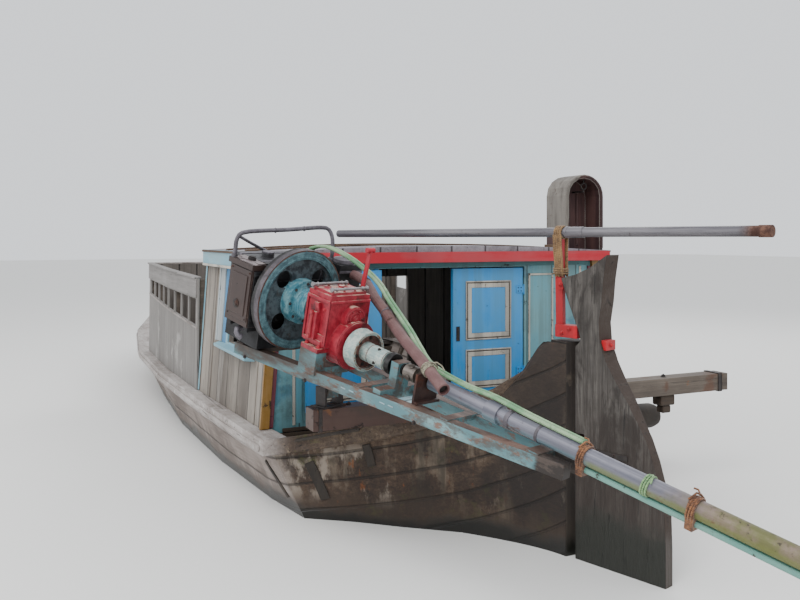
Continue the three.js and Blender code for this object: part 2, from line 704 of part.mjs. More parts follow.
function buildRudder() {
  const swing = new THREE.Group();
  swing.position.set(0, RUDDER_Y, 0);
  swing.rotation.z = (RUDDER_TURN * Math.PI) / 180;
  group.add(swing);
  const blade = [
    [100, 1440], [10, 1462], [-80, 1500], [-180, 1565], [-160, 1440], [-150, 1330], [-132, 1220],
    [-140, 1120], [-175, 1030], [-238, 930], [-296, 850], [-352, 760], [-400, 680], [-440, 580],
    [-478, 450], [-500, 330], [-505, 180], [-505, 0], [-505, -420], [10, -420], [10, 1090],
    [-24, 1125], [-8, 1180], [20, 1240], [62, 1340],
  ];
  const upright = (radius, z0, z1) => {
    const round = new THREE.CylinderGeometry(radius, radius, z1 - z0, 20);
    return round.rotateX(Math.PI / 2).translate(0, 0, (z0 + z1) / 2);
  };
  const notches = GUDGEONS.map((z) => box(-60, 80, -45, 30, z - 28, z + 28));
  const pintles = GUDGEONS.map((z) => upright(PINTLE_R, z - 30, z + 30));
  const plank = profile(blade, -45, RUDDER_STARBOARD);
  const thinned = wall([[16, -500], [90, -500], [90, 1040], [62, 1040], [16, 700]], -600, 200);
  place(swing, "rudder_blade", "grey_wood", join(cut(plank, thinned, ...notches), ...pintles));
  const iron = join(
    profile([[112, 1130], [158, 1130], [166, 1654.7], [120, 1654.7]], -12, 12),
    profile([[10.3, 1130], [150, 1130], [150, 1195], [10.3, 1195]], -30, 30),
    profile([[100.3, 1380], [130, 1380], [130, 1440], [100.3, 1440]], -30, 30),
  );
  const clearance = profile(blade.map(([y, z]) => [y + GAP, z]), -46, RUDDER_STARBOARD + 1);
  place(swing, "rudder_iron", "red", cut(iron, clearance));
  const tiller = turned([[25, 2045], [21, 2045], [21, -990], [25, -990]], 24).translate(0, 0, TILLER_Z);
  place(swing, "tiller", "steel", tiller);
  const lash = cut(
    join(drum(33, 110, 170, 0, TILLER_Z), box(-20, 20, 100, 180, 1440, 1665)),
    drum(25 + GAP, 50, 250, 0, TILLER_Z),
    profile([[111.7, 1100], [158.3, 1100], [166.3, 1655], [119.7, 1655]], -12.3, 12.3),
    box(-50, 50, 90, 130.5, 1300, 1441),
  );
  place(swing, "tiller_lashing", "brown_wood", lash);
  for (const [index, z] of GUDGEONS.entries()) {
    const eye = upright(PINTLE_R + GAP, z - 30, z + 30).translate(0, RUDDER_Y, 0);
    const block = box(-20, 20, RUDDER_Y - 20, POST_AFT_Y - GAP, z - 16, z + 16);
    place(group, `gudgeon_${index + 1}`, "iron", cut(block, eye));
  }
}

buildHull();
buildGunwales();
buildCabin();
buildRoof();
buildDoors();
buildBeam();
buildBearer();
buildFrame();
buildEngine();
buildGearbox();
buildTube();
buildPipes();
buildFlywheel();
buildShaft();
buildRudder();
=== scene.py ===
import math

import bmesh
import bpy
from mathutils import Matrix, Vector
from mathutils.bvhtree import BVHTree


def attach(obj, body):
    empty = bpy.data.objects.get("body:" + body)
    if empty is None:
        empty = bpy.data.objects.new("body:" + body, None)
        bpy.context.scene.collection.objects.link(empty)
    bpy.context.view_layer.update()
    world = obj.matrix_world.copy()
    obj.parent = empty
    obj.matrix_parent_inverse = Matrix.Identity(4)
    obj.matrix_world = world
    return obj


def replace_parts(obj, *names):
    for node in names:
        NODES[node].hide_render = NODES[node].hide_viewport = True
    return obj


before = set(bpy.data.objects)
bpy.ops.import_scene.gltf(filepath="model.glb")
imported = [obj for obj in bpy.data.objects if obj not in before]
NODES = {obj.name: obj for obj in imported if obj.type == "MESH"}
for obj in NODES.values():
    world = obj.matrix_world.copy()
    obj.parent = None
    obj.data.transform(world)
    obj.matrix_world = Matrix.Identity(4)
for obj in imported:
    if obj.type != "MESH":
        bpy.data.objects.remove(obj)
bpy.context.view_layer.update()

SIDES = ((-1, "port"), (1, "starboard"))
UP, DOWN, AFT = Vector((0, 0, 1)), Vector((0, 0, -1)), Vector((0, -1, 0))

# The camera of the photograph, in metres: eye, heading east of +Y, focal length and horizon
EYE = Vector((-2.70, -8.20, 1.65))
HEADING_DEG = 25
FOCAL_PX = 844
WIDTH_PX = 800
HEIGHT_PX = 600
HORIZON_PX = 238
SENSOR_MM = 36
CLIP_END = 200


def frame_at(place, z_turn=0.0, x_turn=0.0):
    """A frame at a place, turned about its own axes by degrees."""
    turned = Matrix.Translation(place) @ Matrix.Rotation(math.radians(z_turn), 4, "Z")
    return turned @ Matrix.Rotation(math.radians(x_turn), 4, "X")


# Frames of the moving groups at rest
TAIL = frame_at((-1.250, -3.900, 1.200), 19.5, 12.7)
RUDDER = frame_at((0, -4.640, 0), 17)
PORT_LEAF = frame_at((-0.504, -3.186, 0), -178)
STARBOARD_LEAF = frame_at((0.600, -3.186, 0))
WORLD = Matrix.Identity(4)

# The flywheel's axle in the tail's frame: x and z
AXLE = (-0.055, 0.123)


def new_object(name, data):
    obj = bpy.data.objects.new(name, data)
    bpy.context.scene.collection.objects.link(obj)
    return obj


def add_camera():
    data = bpy.data.cameras.new("camera")
    data.sensor_width = SENSOR_MM
    data.lens = SENSOR_MM * FOCAL_PX / WIDTH_PX
    data.shift_y = -(HEIGHT_PX / 2 - HORIZON_PX) / WIDTH_PX
    data.clip_end = CLIP_END
    camera = new_object("camera", data)
    camera.matrix_world = frame_at(EYE, -HEADING_DEG, 90)
    bpy.context.scene.camera = camera


add_camera()


# Colours and materials

# How much of a colour's light stays, and how much stronger its hue gets
DEPTH, STRENGTH = 0.70, 1.12


def tone(code, depth=DEPTH):
    """A colour written as six hexadecimal digits, made linear, deeper and a little stronger."""
    values = [int(code[i:i + 2], 16) / 255 for i in (0, 2, 4)]
    linear = [v / 12.92 if v <= 0.04045 else ((v + 0.055) / 1.055) ** 2.4 for v in values]
    mean = sum(linear) / 3
    return (*(max(0.0, (mean + STRENGTH * (v - mean)) * depth) for v in linear), 1.0)


# Where a surface counts as an edge: cosines between its face and its rounded normal, whole to worn
SHARP = (0.985, 0.80)
EDGE_SAMPLES = 6


class Shade:
    """One procedural material, put together node by node. Places are in metres, in the group's own frame.
    A value is a node's output, a number or a colour's code."""

    def __init__(self, name, group=None):
        self.material = bpy.data.materials.new(name)
        self.material.use_nodes = True
        self.tree = self.material.node_tree
        self.tree.nodes.clear()
        self.place = self.world = self.node("TexCoord").outputs["Object"]
        if group is not None:
            own = {"Location": group.to_translation(), "Rotation": group.to_euler("XYZ")}
            self.place = self.node("Mapping", {"Vector": self.place, **own}, vector_type="TEXTURE").outputs[0]

    def node(self, kind, inputs=None, **settings):
        made = self.tree.nodes.new("ShaderNode" + kind)
        for key, value in settings.items():
            setattr(made, key, value)
        for key, value in (inputs or {}).items():
            if isinstance(value, bpy.types.NodeSocket):
                self.tree.links.new(value, made.inputs[key])
            else:
                made.inputs[key].default_value = tone(value) if isinstance(value, str) else value
        return made

    def noise(self, scale, detail=5, rough=0.6, warp=0.0, shift=(0, 0, 0)):
        scale = scale if isinstance(scale, tuple) else (scale,) * 3
        spot = self.node("Mapping", {"Vector": self.place, "Scale": scale, "Location": shift}).outputs[0]
        look = {"Vector": spot, "Scale": 1.0, "Detail": detail, "Roughness": rough, "Distortion": warp}
        return self.node("TexNoise", look).outputs["Fac"]

    def calc(self, operation, a, b=0.0):
        return self.node("Math", {0: a, 1: b}, operation=operation).outputs[0]

    def add(self, a, b):
        return self.calc("ADD", a, b)

    def less(self, a, b):
        return self.calc("SUBTRACT", a, b)

    def times(self, a, b):
        return self.calc("MULTIPLY", a, b)

    def weigh(self, *parts):
        """The sum of (value, weight) pairs."""
        shares = [self.times(value, weight) for value, weight in parts]
        total = shares[0]
        for share in shares[1:]:
            total = self.add(total, share)
        return total

    def stir(self, value, noise, amount):
        """A value that wanders with a noise."""
        return self.add(value, self.times(self.less(noise, 0.5), amount))

    def line(self, value, low, high, floor, top, **settings):
        span = {"Value": value, "From Min": low, "From Max": high, "To Min": floor, "To Max": top}
        return self.node("MapRange", span, **settings).outputs[0]

    def step(self, value, low, high, floor=0.0, top=1.0):
        return self.line(value, low, high, floor, top, interpolation_type="SMOOTHSTEP")

    def ramp(self, value, *stops):
        made = self.node("ValToRGB", {0: value})
        elements = made.color_ramp.elements
        while len(elements) < len(stops):
            elements.new(0.5)
        for element, (position, code) in zip(elements, stops):
            element.position = position
            element.color = tone(code)
        return made.outputs[0]

    def mix(self, share, a, b):
        return self.node("Mix", {"Factor": share, "A": a, "B": b}, data_type="RGBA").outputs["Result"]

    def cover(self, colour, mask, strength, code):
        """A second colour over the first, as strong as mask and strength say."""
        return self.mix(self.times(mask, strength), colour, code)

    def stained(self, colour, stains, rough, shift):
        """Patches given as (colour, size, start, end, strength)."""
        for stain, size, start, end, strength in stains:
            patches = self.noise(size, detail=6, rough=rough, shift=(start, shift, end))
            colour = self.mix(self.step(patches, start, end, 0, strength), colour, stain)
        return colour

    def axis(self, name, of=None):
        return self.node("SeparateXYZ", {0: of or self.place}).outputs[name]

    def normal(self):
        return self.node("NewGeometry").outputs["Normal"]

    def upward(self):
        """How far the surface looks up, from -1 to 1."""
        return self.axis("Z", self.normal())

    def reach(self, a, b):
        """Distance from an axle, from the two offsets across it."""
        return self.calc("SQRT", self.add(self.times(a, a), self.times(b, b)))

    def edges(self, radius):
        """(rounded normal, mask that is 1 on sharp edges)."""
        bevel = self.node("Bevel", {"Radius": radius}, samples=EDGE_SAMPLES).outputs[0]
        dot = self.node("VectorMath", {0: bevel, 1: self.normal()}, operation="DOT_PRODUCT")
        return bevel, self.step(dot.outputs["Value"], *SHARP)

    def boards(self, axis, width, gap=0.005, along=None):
        """(random number of each board, mask that is 1 in the joints) for boards along an axis."""
        number = self.calc("DIVIDE", along or self.axis(axis), width)
        chance = self.node("TexWhiteNoise", {"W": self.calc("FLOOR", number)}, noise_dimensions="1D")
        away = self.calc("ABSOLUTE", self.less(self.calc("FRACT", number), 0.5))
        share = gap / width
        return chance.outputs["Value"], self.step(away, 0.5 - 1.6 * share, 0.5 - 0.5 * share)

    def finish(self, colour, roughness=0.6, metallic=0.0, height=None, depth=0.002, normal=None, **sockets):
        look = {"Base Color": colour, "Roughness": roughness, "Metallic": metallic}
        look |= {key.replace("_", " "): value for key, value in sockets.items()}
        if height is not None:
            bump = {"Strength": 1.0, "Distance": depth, "Height": height}
            if normal is not None:
                bump["Normal"] = normal
            look["Normal"] = self.node("Bump", bump).outputs[0]
        shader = self.node("BsdfPrincipled", look)
        self.node("OutputMaterial", {"Surface": shader.outputs[0]})
        return self.material


GRAIN = {"X": (2.5, 70, 70), "Y": (70, 2.5, 70), "Z": (70, 70, 2.5)}
STREAK = {"X": (0.5, 12, 12), "Y": (12, 0.5, 12), "Z": (12, 12, 0.5)}

# The hull's strakes: width, where their lines start to rise aft and fore, and how steeply they do
STRAKE = 0.165
AFT_RISE_Y, AFT_RISE = -3.0, 0.20
FORE_RISE_Y, FORE_RISE = 0.4, 0.027


def wood(name, dark, middle, light, along="Y", board=None, wet=False, stains=(), rough=0.78, spread=0.5):
    """Weathered boards. board = (axis across, width in metres[, gap]). stains are as in Shade.stained."""
    s = Shade(name)
    grain = s.noise(GRAIN[along], detail=7, rough=0.7, warp=0.6)
    streak = s.noise(STREAK[along], detail=4)
    tint = s.weigh((grain, 0.42), (streak, 0.33), (s.noise(2.2, detail=5, rough=0.65), 0.25))
    if board:
        chance, joint = s.boards(*board)
        tint = s.stir(tint, chance, 0.22 * spread)
    colour = s.stained(s.ramp(tint, (0.34, dark), (0.5, middle), (0.66, light)), stains, 0.68, 3.1)
    crack = s.step(s.noise(GRAIN[along], detail=3, warp=1.2, shift=(5, 2, 8)), 0.63, 0.70)
    colour = s.cover(colour, crack, 0.55, "1d1713")
    height = s.less(s.times(grain, 0.5), s.times(crack, 0.8))
    if board:
        colour = s.cover(colour, joint, 0.85, "17120f")
        height = s.less(height, s.times(joint, 2.5))
    roughness = s.line(grain, 0.3, 0.7, rough - 0.12, rough + 0.12)
    if wet:
        ragged = s.stir(s.axis("Z", s.world), s.noise(6), -0.16)
        soaked = s.step(ragged, 0.14, 0.03)
        colour = s.mix(s.step(ragged, 0.34, 0.10, 0, 0.45), colour, "40372c")
        colour = s.mix(soaked, colour, "15160f")
        roughness = s.less(roughness, s.times(soaked, 0.35))
    normal, edge = s.edges(0.006)
    colour = s.cover(colour, edge, 0.25, light)
    return s.finish(colour, roughness, height=height, depth=0.0022, normal=normal)


def paint(
    name, colour, under, fade=None, chips=0.5, size=18.0, dirt=0.35, rough=0.5, group=None, along="Z",
    metal=0.0, board=None, blots=(),
):
    """Worn paint over wood or metal. chips goes from 0, whole, to 1, mostly gone."""
    s = Shade(name, group)
    cloud = s.noise(3.0, detail=5, rough=0.6)
    streak = s.noise(STREAK[along], detail=5, rough=0.65)
    coat = s.mix(s.step(s.weigh((cloud, 0.5), (streak, 0.5)), 0.4, 0.62), colour, fade or colour)
    fine = s.noise(size, detail=8, rough=0.72, warp=0.4)
    patch = s.noise(size * 0.22, detail=4, shift=(4, 9, 2))
    normal, edge = s.edges(0.004)
    start = 0.70 - 0.28 * chips
    bare = s.step(s.weigh((fine, 0.6), (patch, 0.4), (edge, 0.128)), start, start + 0.035)
    darker = s.mix(s.step(fine, 0.35, 0.65, 0, 0.6), under, "1a1310")
    result = s.stained(s.mix(bare, coat, darker), blots, 0.66, 1.7)
    film = s.step(s.times(streak, s.add(cloud, 0.5)), 0.42, 0.66, 0, dirt)
    result = s.mix(film, result, "2a211b")
    height = s.less(s.times(fine, 0.25), s.times(bare, 0.8))
    if board:
        _, joint = s.boards(*board, gap=0.004)
        result = s.cover(result, joint, 0.7, "1c1a18")
        height = s.less(height, s.times(joint, 2.0))
    roughness = s.line(bare, 0, 1, rough, min(rough + 0.3, 0.95))
    metallic = s.times(bare, metal) if metal else 0.0
    return s.finish(result, roughness, metallic, height=height, depth=0.0012, normal=normal)


def iron(
    name, colour, rust, light, amount=0.5, size=22.0, rough=0.55, metal=0.6, group=None, along="Y", oil=0.0,
):
    """Bare or dull metal with rust blooming on it."""
    s = Shade(name, group)
    fine = s.noise(size, detail=8, rough=0.7, warp=0.3)
    broad = s.noise(size * 0.16, detail=5, rough=0.6, shift=(2, 7, 1))
    drawn = s.noise(STREAK[along], detail=5)
    body = s.mix(s.step(s.weigh((fine, 0.5), (drawn, 0.5)), 0.40, 0.64), colour, light)
    normal, edge = s.edges(0.003)
    start = 0.68 - 0.26 * amount
    bloom = s.step(s.weigh((fine, 0.55), (broad, 0.45), (edge, 0.05)), start, start + 0.07)
    rusty = s.mix(s.step(s.noise(size * 3, detail=5), 0.4, 0.6), rust, s.mix(0.45, rust, "20130d"))
    result = s.mix(bloom, body, rusty)
    if oil:
        result = s.mix(s.step(broad, 0.42, 0.6, 0, oil), result, "0d0c0c")
    roughness = s.line(bloom, 0, 1, rough, 0.88)
    metallic = s.line(bloom, 0, 1, metal, 0.1)
    return s.finish(result, roughness, metallic, height=fine, depth=0.0010, normal=normal)


def hull_wood():
    """Hull planks that follow the sheer: dusty and pale along the sides, dark and stained at the stern, with
    painted shade towards the stern post.
    """
    s = Shade("hull_planks")
    y = s.axis("Y")
    z = s.axis("Z")
    aft = s.calc("MAXIMUM", s.less(AFT_RISE_Y, y), 0.0)
    fore = s.calc("MAXIMUM", s.less(y, FORE_RISE_Y), 0.0)
    rise = s.weigh((s.calc("POWER", aft, 2.0), AFT_RISE), (s.calc("POWER", fore, 2.0), FORE_RISE))
    wave = s.times(s.less(s.noise(1.2, detail=2), 0.5), 0.05)
    chance, joint = s.boards("Z", STRAKE, gap=0.007, along=s.add(s.less(z, rise), wave))
    grain = s.noise((55, 2.0, 55), detail=7, rough=0.7, warp=0.8)
    blotch = s.noise(2.0, detail=6, rough=0.66)
    drip = s.noise((9, 9, 0.9), detail=5, rough=0.62)
    tint = s.stir(s.weigh((grain, 0.4), (blotch, 0.6)), chance, 0.12)
    side = s.ramp(tint, (0.36, "7d716a"), (0.5, "a2968f"), (0.64, "bab0a9"))
    stern = s.ramp(tint, (0.38, "241b15"), (0.5, "46362b"), (0.64, "6b5847"))
    scraped = s.times(s.step(s.weigh((blotch, 0.5), (drip, 0.5)), 0.50, 0.60), s.step(z, 0.02, 0.22))
    stern = s.cover(stern, scraped, 0.85, "8f8170")
    bare = s.step(s.noise((3.2, 3.2, 1.6), detail=6, rough=0.66, shift=(8, 2, 6)), 0.53, 0.60, 0, 0.85)
    stern = s.cover(stern, bare, s.times(s.step(z, 0.08, 0.2), s.step(z, 0.52, 0.40)), "a3978a")
    moss = s.noise(7.0, detail=7, rough=0.72, shift=(3, 1, 4))
    stern = s.mix(s.step(moss, 0.56, 0.66, 0, 0.5), stern, "4c5128")
    orange = s.noise((16, 16, 5), detail=6, rough=0.7, shift=(7, 7, 1))
    stern = s.mix(s.step(orange, 0.62, 0.70, 0, 0.6), stern, "8a4d22")
    stern = s.mix(s.step(drip, 0.54, 0.66, 0, 0.7), stern, "191410")
    # Painted shade: the stern planks darken towards the stern post, more strongly higher up.
    painted_shade = s.step(s.stir(y, blotch, 1.4), -3.90, -4.40, 0, 0.72)
    stern = s.cover(stern, painted_shade, s.step(z, -0.1, 0.25, 0.4, 1.0), "1f1815")
    turn = s.stir(y, s.noise(3.0, shift=(1, 2, 2)), 0.3)
    colour = s.cover(s.mix(s.step(turn, -3.36, -3.50), side, stern), joint, 0.6, "17110d")
    tar = s.step(s.stir(z, blotch, -0.3), 0.11, 0.03)
    colour = s.mix(s.step(s.stir(z, drip, -0.5), 0.26, 0.10, 0, 0.5), colour, "46392f")
    colour = s.mix(tar, colour, "171511")
    height = s.less(s.times(grain, 0.6), s.times(joint, 2.2))
    return s.finish(colour, s.less(0.76, s.times(tar, 0.42)), height=height, depth=0.0035)


def wale_wood():
    """Worn ledge planks: whitish and scoured along the sides, brown and wet-stained aft."""
    s = Shade("wale_planks")
    grain = s.noise((60, 2.2, 60), detail=7, rough=0.7, warp=0.7)
    scour = s.noise(14.0, detail=8, rough=0.75)
    tint = s.weigh((grain, 0.4), (s.noise(2.4, detail=5), 0.6))
    side = s.ramp(tint, (0.36, "8b817b"), (0.5, "b3aba6"), (0.62, "cfc9c5"))
    side = s.mix(s.step(scour, 0.56, 0.66, 0, 0.6), side, "6c5e55")
    side = s.mix(s.step(scour, 0.44, 0.36, 0, 0.7), side, "e4e0dd")
    stern = s.ramp(tint, (0.36, "2c211a"), (0.5, "4d3d31"), (0.64, "7a6855"))
    stern = s.mix(s.step(scour, 0.57, 0.68, 0, 0.6), stern, "9b8c7b")
    moss = s.noise(9.0, detail=7, rough=0.7, shift=(2, 5, 4))
    stern = s.mix(s.step(moss, 0.58, 0.68, 0, 0.55), stern, "53552c")
    colour = s.mix(s.step(s.axis("Y"), -3.44, -3.56), side, stern)
    split = s.step(s.noise((40, 0.8, 40), detail=3, warp=1.0, shift=(9, 2, 2)), 0.64, 0.70)
    colour = s.cover(colour, split, 0.75, "17110d")
    height = s.less(s.times(scour, 0.5), s.times(split, 1.2))
    normal, _ = s.edges(0.010)
    return s.finish(colour, s.line(scour, 0.3, 0.7, 0.5, 0.85), height=height, depth=0.004, normal=normal)


def rudder_wood():
    """Split grey timber with painted shade that darkens its aft face to brown, wet and green-black near the
    water.
    """
    s = Shade("rudder_timber", RUDDER)
    grain = s.noise((9, 38, 2.2), detail=8, rough=0.72, warp=1.1)
    fibre = s.noise((40, 120, 5), detail=6, rough=0.7, warp=0.5)
    blotch = s.noise(2.6, detail=5, rough=0.65)
    tint = s.weigh((grain, 0.45), (blotch, 0.3), (fibre, 0.25))
    colour = s.ramp(tint, (0.36, "26211e"), (0.49, "4e4945"), (0.62, "7d7872"))
    z = s.axis("Z", s.world)
    cloud = s.noise((1.5, 6, 2.2), detail=6, rough=0.68, warp=0.8, shift=(6, 1, 2))
    colour = s.mix(s.step(cloud, 0.47, 0.60, 0, 0.75), colour, "2b2420")
    colour = s.cover(colour, s.step(s.stir(z, grain, 0.9), 0.95, 0.35), 0.62, "352a24")
    split = s.step(grain, 0.60, 0.66)
    colour = s.cover(colour, split, 0.8, "15110e")
    soaked = s.step(s.stir(z, blotch, 0.4), 0.30, 0.16)
    colour = s.mix(soaked, colour, "1b1d13")
    # Painted shade: the faces that look aft are darkened to brown.
    colour = s.cover(colour, facing_aft(s), 0.8, "3b2b21")
    height = s.less(s.weigh((grain, 1.2), (fibre, 0.3)), split)
    normal, _ = s.edges(0.008)
    return s.finish(colour, s.less(0.8, s.times(soaked, 0.4)), height=height, depth=0.007, normal=normal)


def facing_aft(s):
    """1 where the rudder's surface faces aft along its own axis."""
    spaces = {"vector_type": "NORMAL", "convert_from": "WORLD", "convert_to": "OBJECT"}
    turned = s.node("VectorTransform", {0: s.normal()}, **spaces)
    aft = RUDDER.to_3x3() @ AFT
    dot = s.node("VectorMath", {0: turned.outputs[0], 1: aft}, operation="DOT_PRODUCT")
    return s.step(dot.outputs["Value"], 0.6, 0.85)


def tube_metal():
    """Galvanised pipe: grey-purple, with moss and rust towards its far end."""
    s = Shade("tail_tube_metal", TAIL)
    y = s.axis("Y")
    z = s.axis("Z")
    fine = s.noise(34.0, detail=8, rough=0.7)
    broad = s.noise(5.0, detail=6, rough=0.66)
    drawn = s.noise((26, 0.7, 26), detail=5, rough=0.6)
    body = s.mix(s.step(drawn, 0.38, 0.64), "676873", "94939d")
    body = s.mix(s.step(fine, 0.60, 0.70, 0, 0.4), body, "4b474c")
    body = s.cover(body, s.step(z, 0.004, -0.024), s.step(drawn, 0.42, 0.55, 0.3, 0.75), "7ea3ad")
    mossy = s.mix(s.step(broad, 0.42, 0.6), "6d6d45", "8d7a70")
    mossy = s.mix(s.step(fine, 0.57, 0.66), mossy, "3f382c")
    colour = s.mix(s.step(s.stir(y, broad, 0.5), -2.02, -2.34), body, mossy)
    low = s.times(s.step(y, -1.78, -1.84), s.step(z, 0.006, -0.012))
    colour = s.cover(colour, low, 0.8, "777c46")
    rust = s.noise((22, 9, 22), detail=7, rough=0.7, shift=(1, 1, 5))
    colour = s.mix(s.step(rust, 0.58, 0.68, 0, 0.7), colour, "6a4334")
    return s.finish(colour, s.line(fine, 0.3, 0.7, 0.42, 0.72), 0.25, height=fine, depth=0.0012)


def hose_rubber():
    s = Shade("hose_skin", TAIL)
    fine = s.noise(30.0, detail=6, rough=0.7)
    colour = s.mix(s.step(s.noise(7.0, detail=4), 0.42, 0.58), "6d9a72", "9db894")
    colour = s.mix(s.step(fine, 0.56, 0.68, 0, 0.7), colour, "4d6548")
    return s.finish(colour, 0.42, height=fine, depth=0.0006)


def flywheel_iron():
    """Purple-grey rim, a worn blue-green ring on the face, a dark web and a blue hub."""
    s = Shade("flywheel_iron", TAIL)
    radius = s.reach(s.less(s.axis("X"), AXLE[0]), s.less(s.axis("Z"), AXLE[1]))
    fine = s.noise(26.0, detail=8, rough=0.72)
    ring = s.mix(s.step(fine, 0.40, 0.62), "4a666e", "6f9198")
    web = s.mix(s.step(fine, 0.38, 0.6), "2b3136", "586469")
    hub = s.mix(s.step(fine, 0.42, 0.6), "4f8796", "8ab3ba")
    tread = s.mix(s.step(fine, 0.38, 0.62), "3f3a3f", "655e64")
    colour = s.mix(s.step(radius, 0.119, 0.121), hub, web)
    colour = s.mix(s.step(radius, 0.2205, 0.2225), colour, ring)
    colour = s.cover(colour, s.step(radius, 0.262, 0.266), s.step(fine, 0.36, 0.46), "5b3a2c")
    colour = s.mix(s.step(radius, 0.2705, 0.2715), colour, tread)
    colour = s.mix(s.step(s.axis("Y"), 0.030, 0.040), colour, "1d1b1c")
    rust = s.noise(9.0, detail=7, rough=0.7, shift=(4, 2, 2))
    colour = s.mix(s.step(rust, 0.58, 0.68, 0, 0.6), colour, "4b3328")
    normal, _ = s.edges(0.004)
    return s.finish(colour, s.line(fine, 0.3, 0.7, 0.36, 0.62), 0.25, height=fine, depth=0.001, normal=normal)


def gear_paint():
    """Red casting paint, worn to a pinkish cream on faces that look up."""
    s = Shade("gear_paint", TAIL)
    fine = s.noise(24.0, detail=8, rough=0.72)
    broad = s.noise(7.0, detail=5, rough=0.6)
    coat = s.mix(s.step(fine, 0.4, 0.62), "8f2431", "ae3a46")
    worn = s.step(s.noise(15.0, detail=6, rough=0.65), 0.44, 0.54)
    coat = s.cover(coat, s.step(s.upward(), 0.75, 0.95), worn, "cfab9b")
    normal, edge = s.edges(0.004)
    coat = s.mix(s.step(s.add(fine, s.times(edge, 0.14)), 0.64, 0.70), coat, "5c2226")
    coat = s.mix(s.step(broad, 0.56, 0.68, 0, 0.75), coat, "3a1216")
    return s.finish(coat, s.line(broad, 0.3, 0.7, 0.55, 0.36), height=fine, depth=0.0014, normal=normal)


def frame_paint():
    """Blue-green paint on the sides of the rails, rusty pink on their tops."""
    s = Shade("frame_paint", TAIL)
    y = s.axis("Y")
    fine = s.noise((20, 7, 20), detail=8, rough=0.72)
    broad = s.noise((5, 1.6, 5), detail=5, rough=0.62)
    coat = s.mix(s.step(broad, 0.42, 0.6), "64898f", "8cadb0")
    rust = s.mix(s.step(fine, 0.40, 0.62), "4f3a32", "826a5f")
    normal, edge = s.edges(0.004)
    mask = s.add(s.add(fine, s.times(s.step(s.upward(), 0.7, 0.9), 0.21)), s.times(edge, 0.05))
    colour = s.mix(s.step(mask, 0.525, 0.60), coat, rust)
    colour = s.cover(colour, s.step(y, -1.00, 0.02, 0, 0.95), s.step(broad, 0.38, 0.54), "40342e")
    colour = s.mix(s.step(s.stir(y, fine, 0.06), -1.615, -1.640), colour, "2b231f")
    film = s.noise((9, 3.5, 9), detail=8, rough=0.74, shift=(2, 8, 3))
    colour = s.mix(s.step(film, 0.49, 0.58, 0, 0.75), colour, "584c45")
    return s.finish(colour, 0.6, 0.1, height=fine, depth=0.0012, normal=normal)


def coupling_paint():
    """Chipped pale green rim and sleeve around a rust-brown dish."""
    s = Shade("coupling_paint", TAIL)
    radius = s.reach(s.axis("X"), s.axis("Z"))
    fine = s.noise(38.0, detail=8, rough=0.72)
    pale = s.mix(s.step(fine, 0.40, 0.6), "9fb5b2", "cfd8cf")
    pale = s.mix(s.step(fine, 0.60, 0.67), pale, "5a5550")
    face = s.mix(s.step(fine, 0.38, 0.62), "54352e", "7d5750")
    inner = s.times(s.step(radius, 0.0868, 0.0852), s.step(radius, 0.0475, 0.0495))
    line = s.times(s.step(radius, 0.086, 0.089), s.step(radius, 0.0975, 0.093))
    colour = s.cover(s.mix(inner, pale, face), line, s.step(fine, 0.46, 0.56), "8a5a40")
    return s.finish(colour, 0.5, 0.15, height=fine, depth=0.001)


def cowl_coat():
    """Red-brown sheet, with painted light: a pale sunlit colour over its top and port side."""
    s = Shade("cowl_coat")
    fine = s.noise(24.0, detail=8, rough=0.72)
    streak = s.noise((10, 10, 1.2), detail=6, rough=0.66)
    # A pale lit colour: painted light for the faces that took the sun
    painted_light = s.mix(s.step(streak, 0.40, 0.62), "69635d", "8d877f")
    painted_light = s.mix(s.step(fine, 0.58, 0.68, 0, 0.8), painted_light, "5a4b45")
    dark = s.mix(s.step(streak, 0.42, 0.62), "3d2727", "5a3f3c")
    # Painted light: the top and the port side get the pale lit colour, the rest keeps the sheet's dark
    # red-brown.
    border = s.add(s.times(s.less(s.axis("Z"), 1.75), 0.3), 0.985)
    left = s.step(s.less(s.axis("X"), s.stir(border, streak, 0.06)), 0.008, -0.008)
    colour = s.mix(s.calc("MAXIMUM", left, s.step(s.upward(), 0.25, 0.45)), dark, painted_light)
    normal, edge = s.edges(0.012)
    colour = s.cover(colour, edge, 0.7, "a9a49c")
    return s.finish(colour, 0.72, 0.0, height=s.add(fine, streak), depth=0.003, normal=normal)


def tiller_pipe():
    s = Shade("tiller_pipe", RUDDER)
    fine = s.noise(26.0, detail=8, rough=0.7)
    body = s.mix(s.step(s.noise((16, 0.8, 16), detail=5), 0.4, 0.62), "5f5c62", "8b888c")
    body = s.mix(s.step(fine, 0.60, 0.68, 0, 0.6), body, "4d423e")
    end = s.step(s.add(s.axis("Y"), s.times(fine, 0.08)), -0.80, -0.88)
    colour = s.mix(end, body, s.mix(s.step(fine, 0.4, 0.6), "4c322b", "7b5a4c"))
    return s.finish(colour, s.line(end, 0, 1, 0.42, 0.8), 0.35, height=fine, depth=0.0006)


def rope(name, light, dark):
    s = Shade(name)
    twist = s.noise((90, 90, 260), detail=4, rough=0.6)
    colour = s.mix(s.step(s.weigh((twist, 0.6), (s.noise(12.0, detail=4), 0.4)), 0.4, 0.6), dark, light)
    return s.finish(colour, 0.88, height=twist, depth=0.002, Sheen_Weight=0.2)


def propeller_metal():
    s = Shade("propeller_metal", TAIL)
    fine = s.noise(40.0, detail=7, rough=0.7)
    colour = s.mix(s.step(fine, 0.4, 0.62), "7a6a4a", "a89468")
    colour = s.mix(s.step(s.noise(14.0, detail=6), 0.54, 0.66, 0, 0.7), colour, "45594c")
    return s.finish(colour, 0.42, 0.8, height=fine, depth=0.0006)


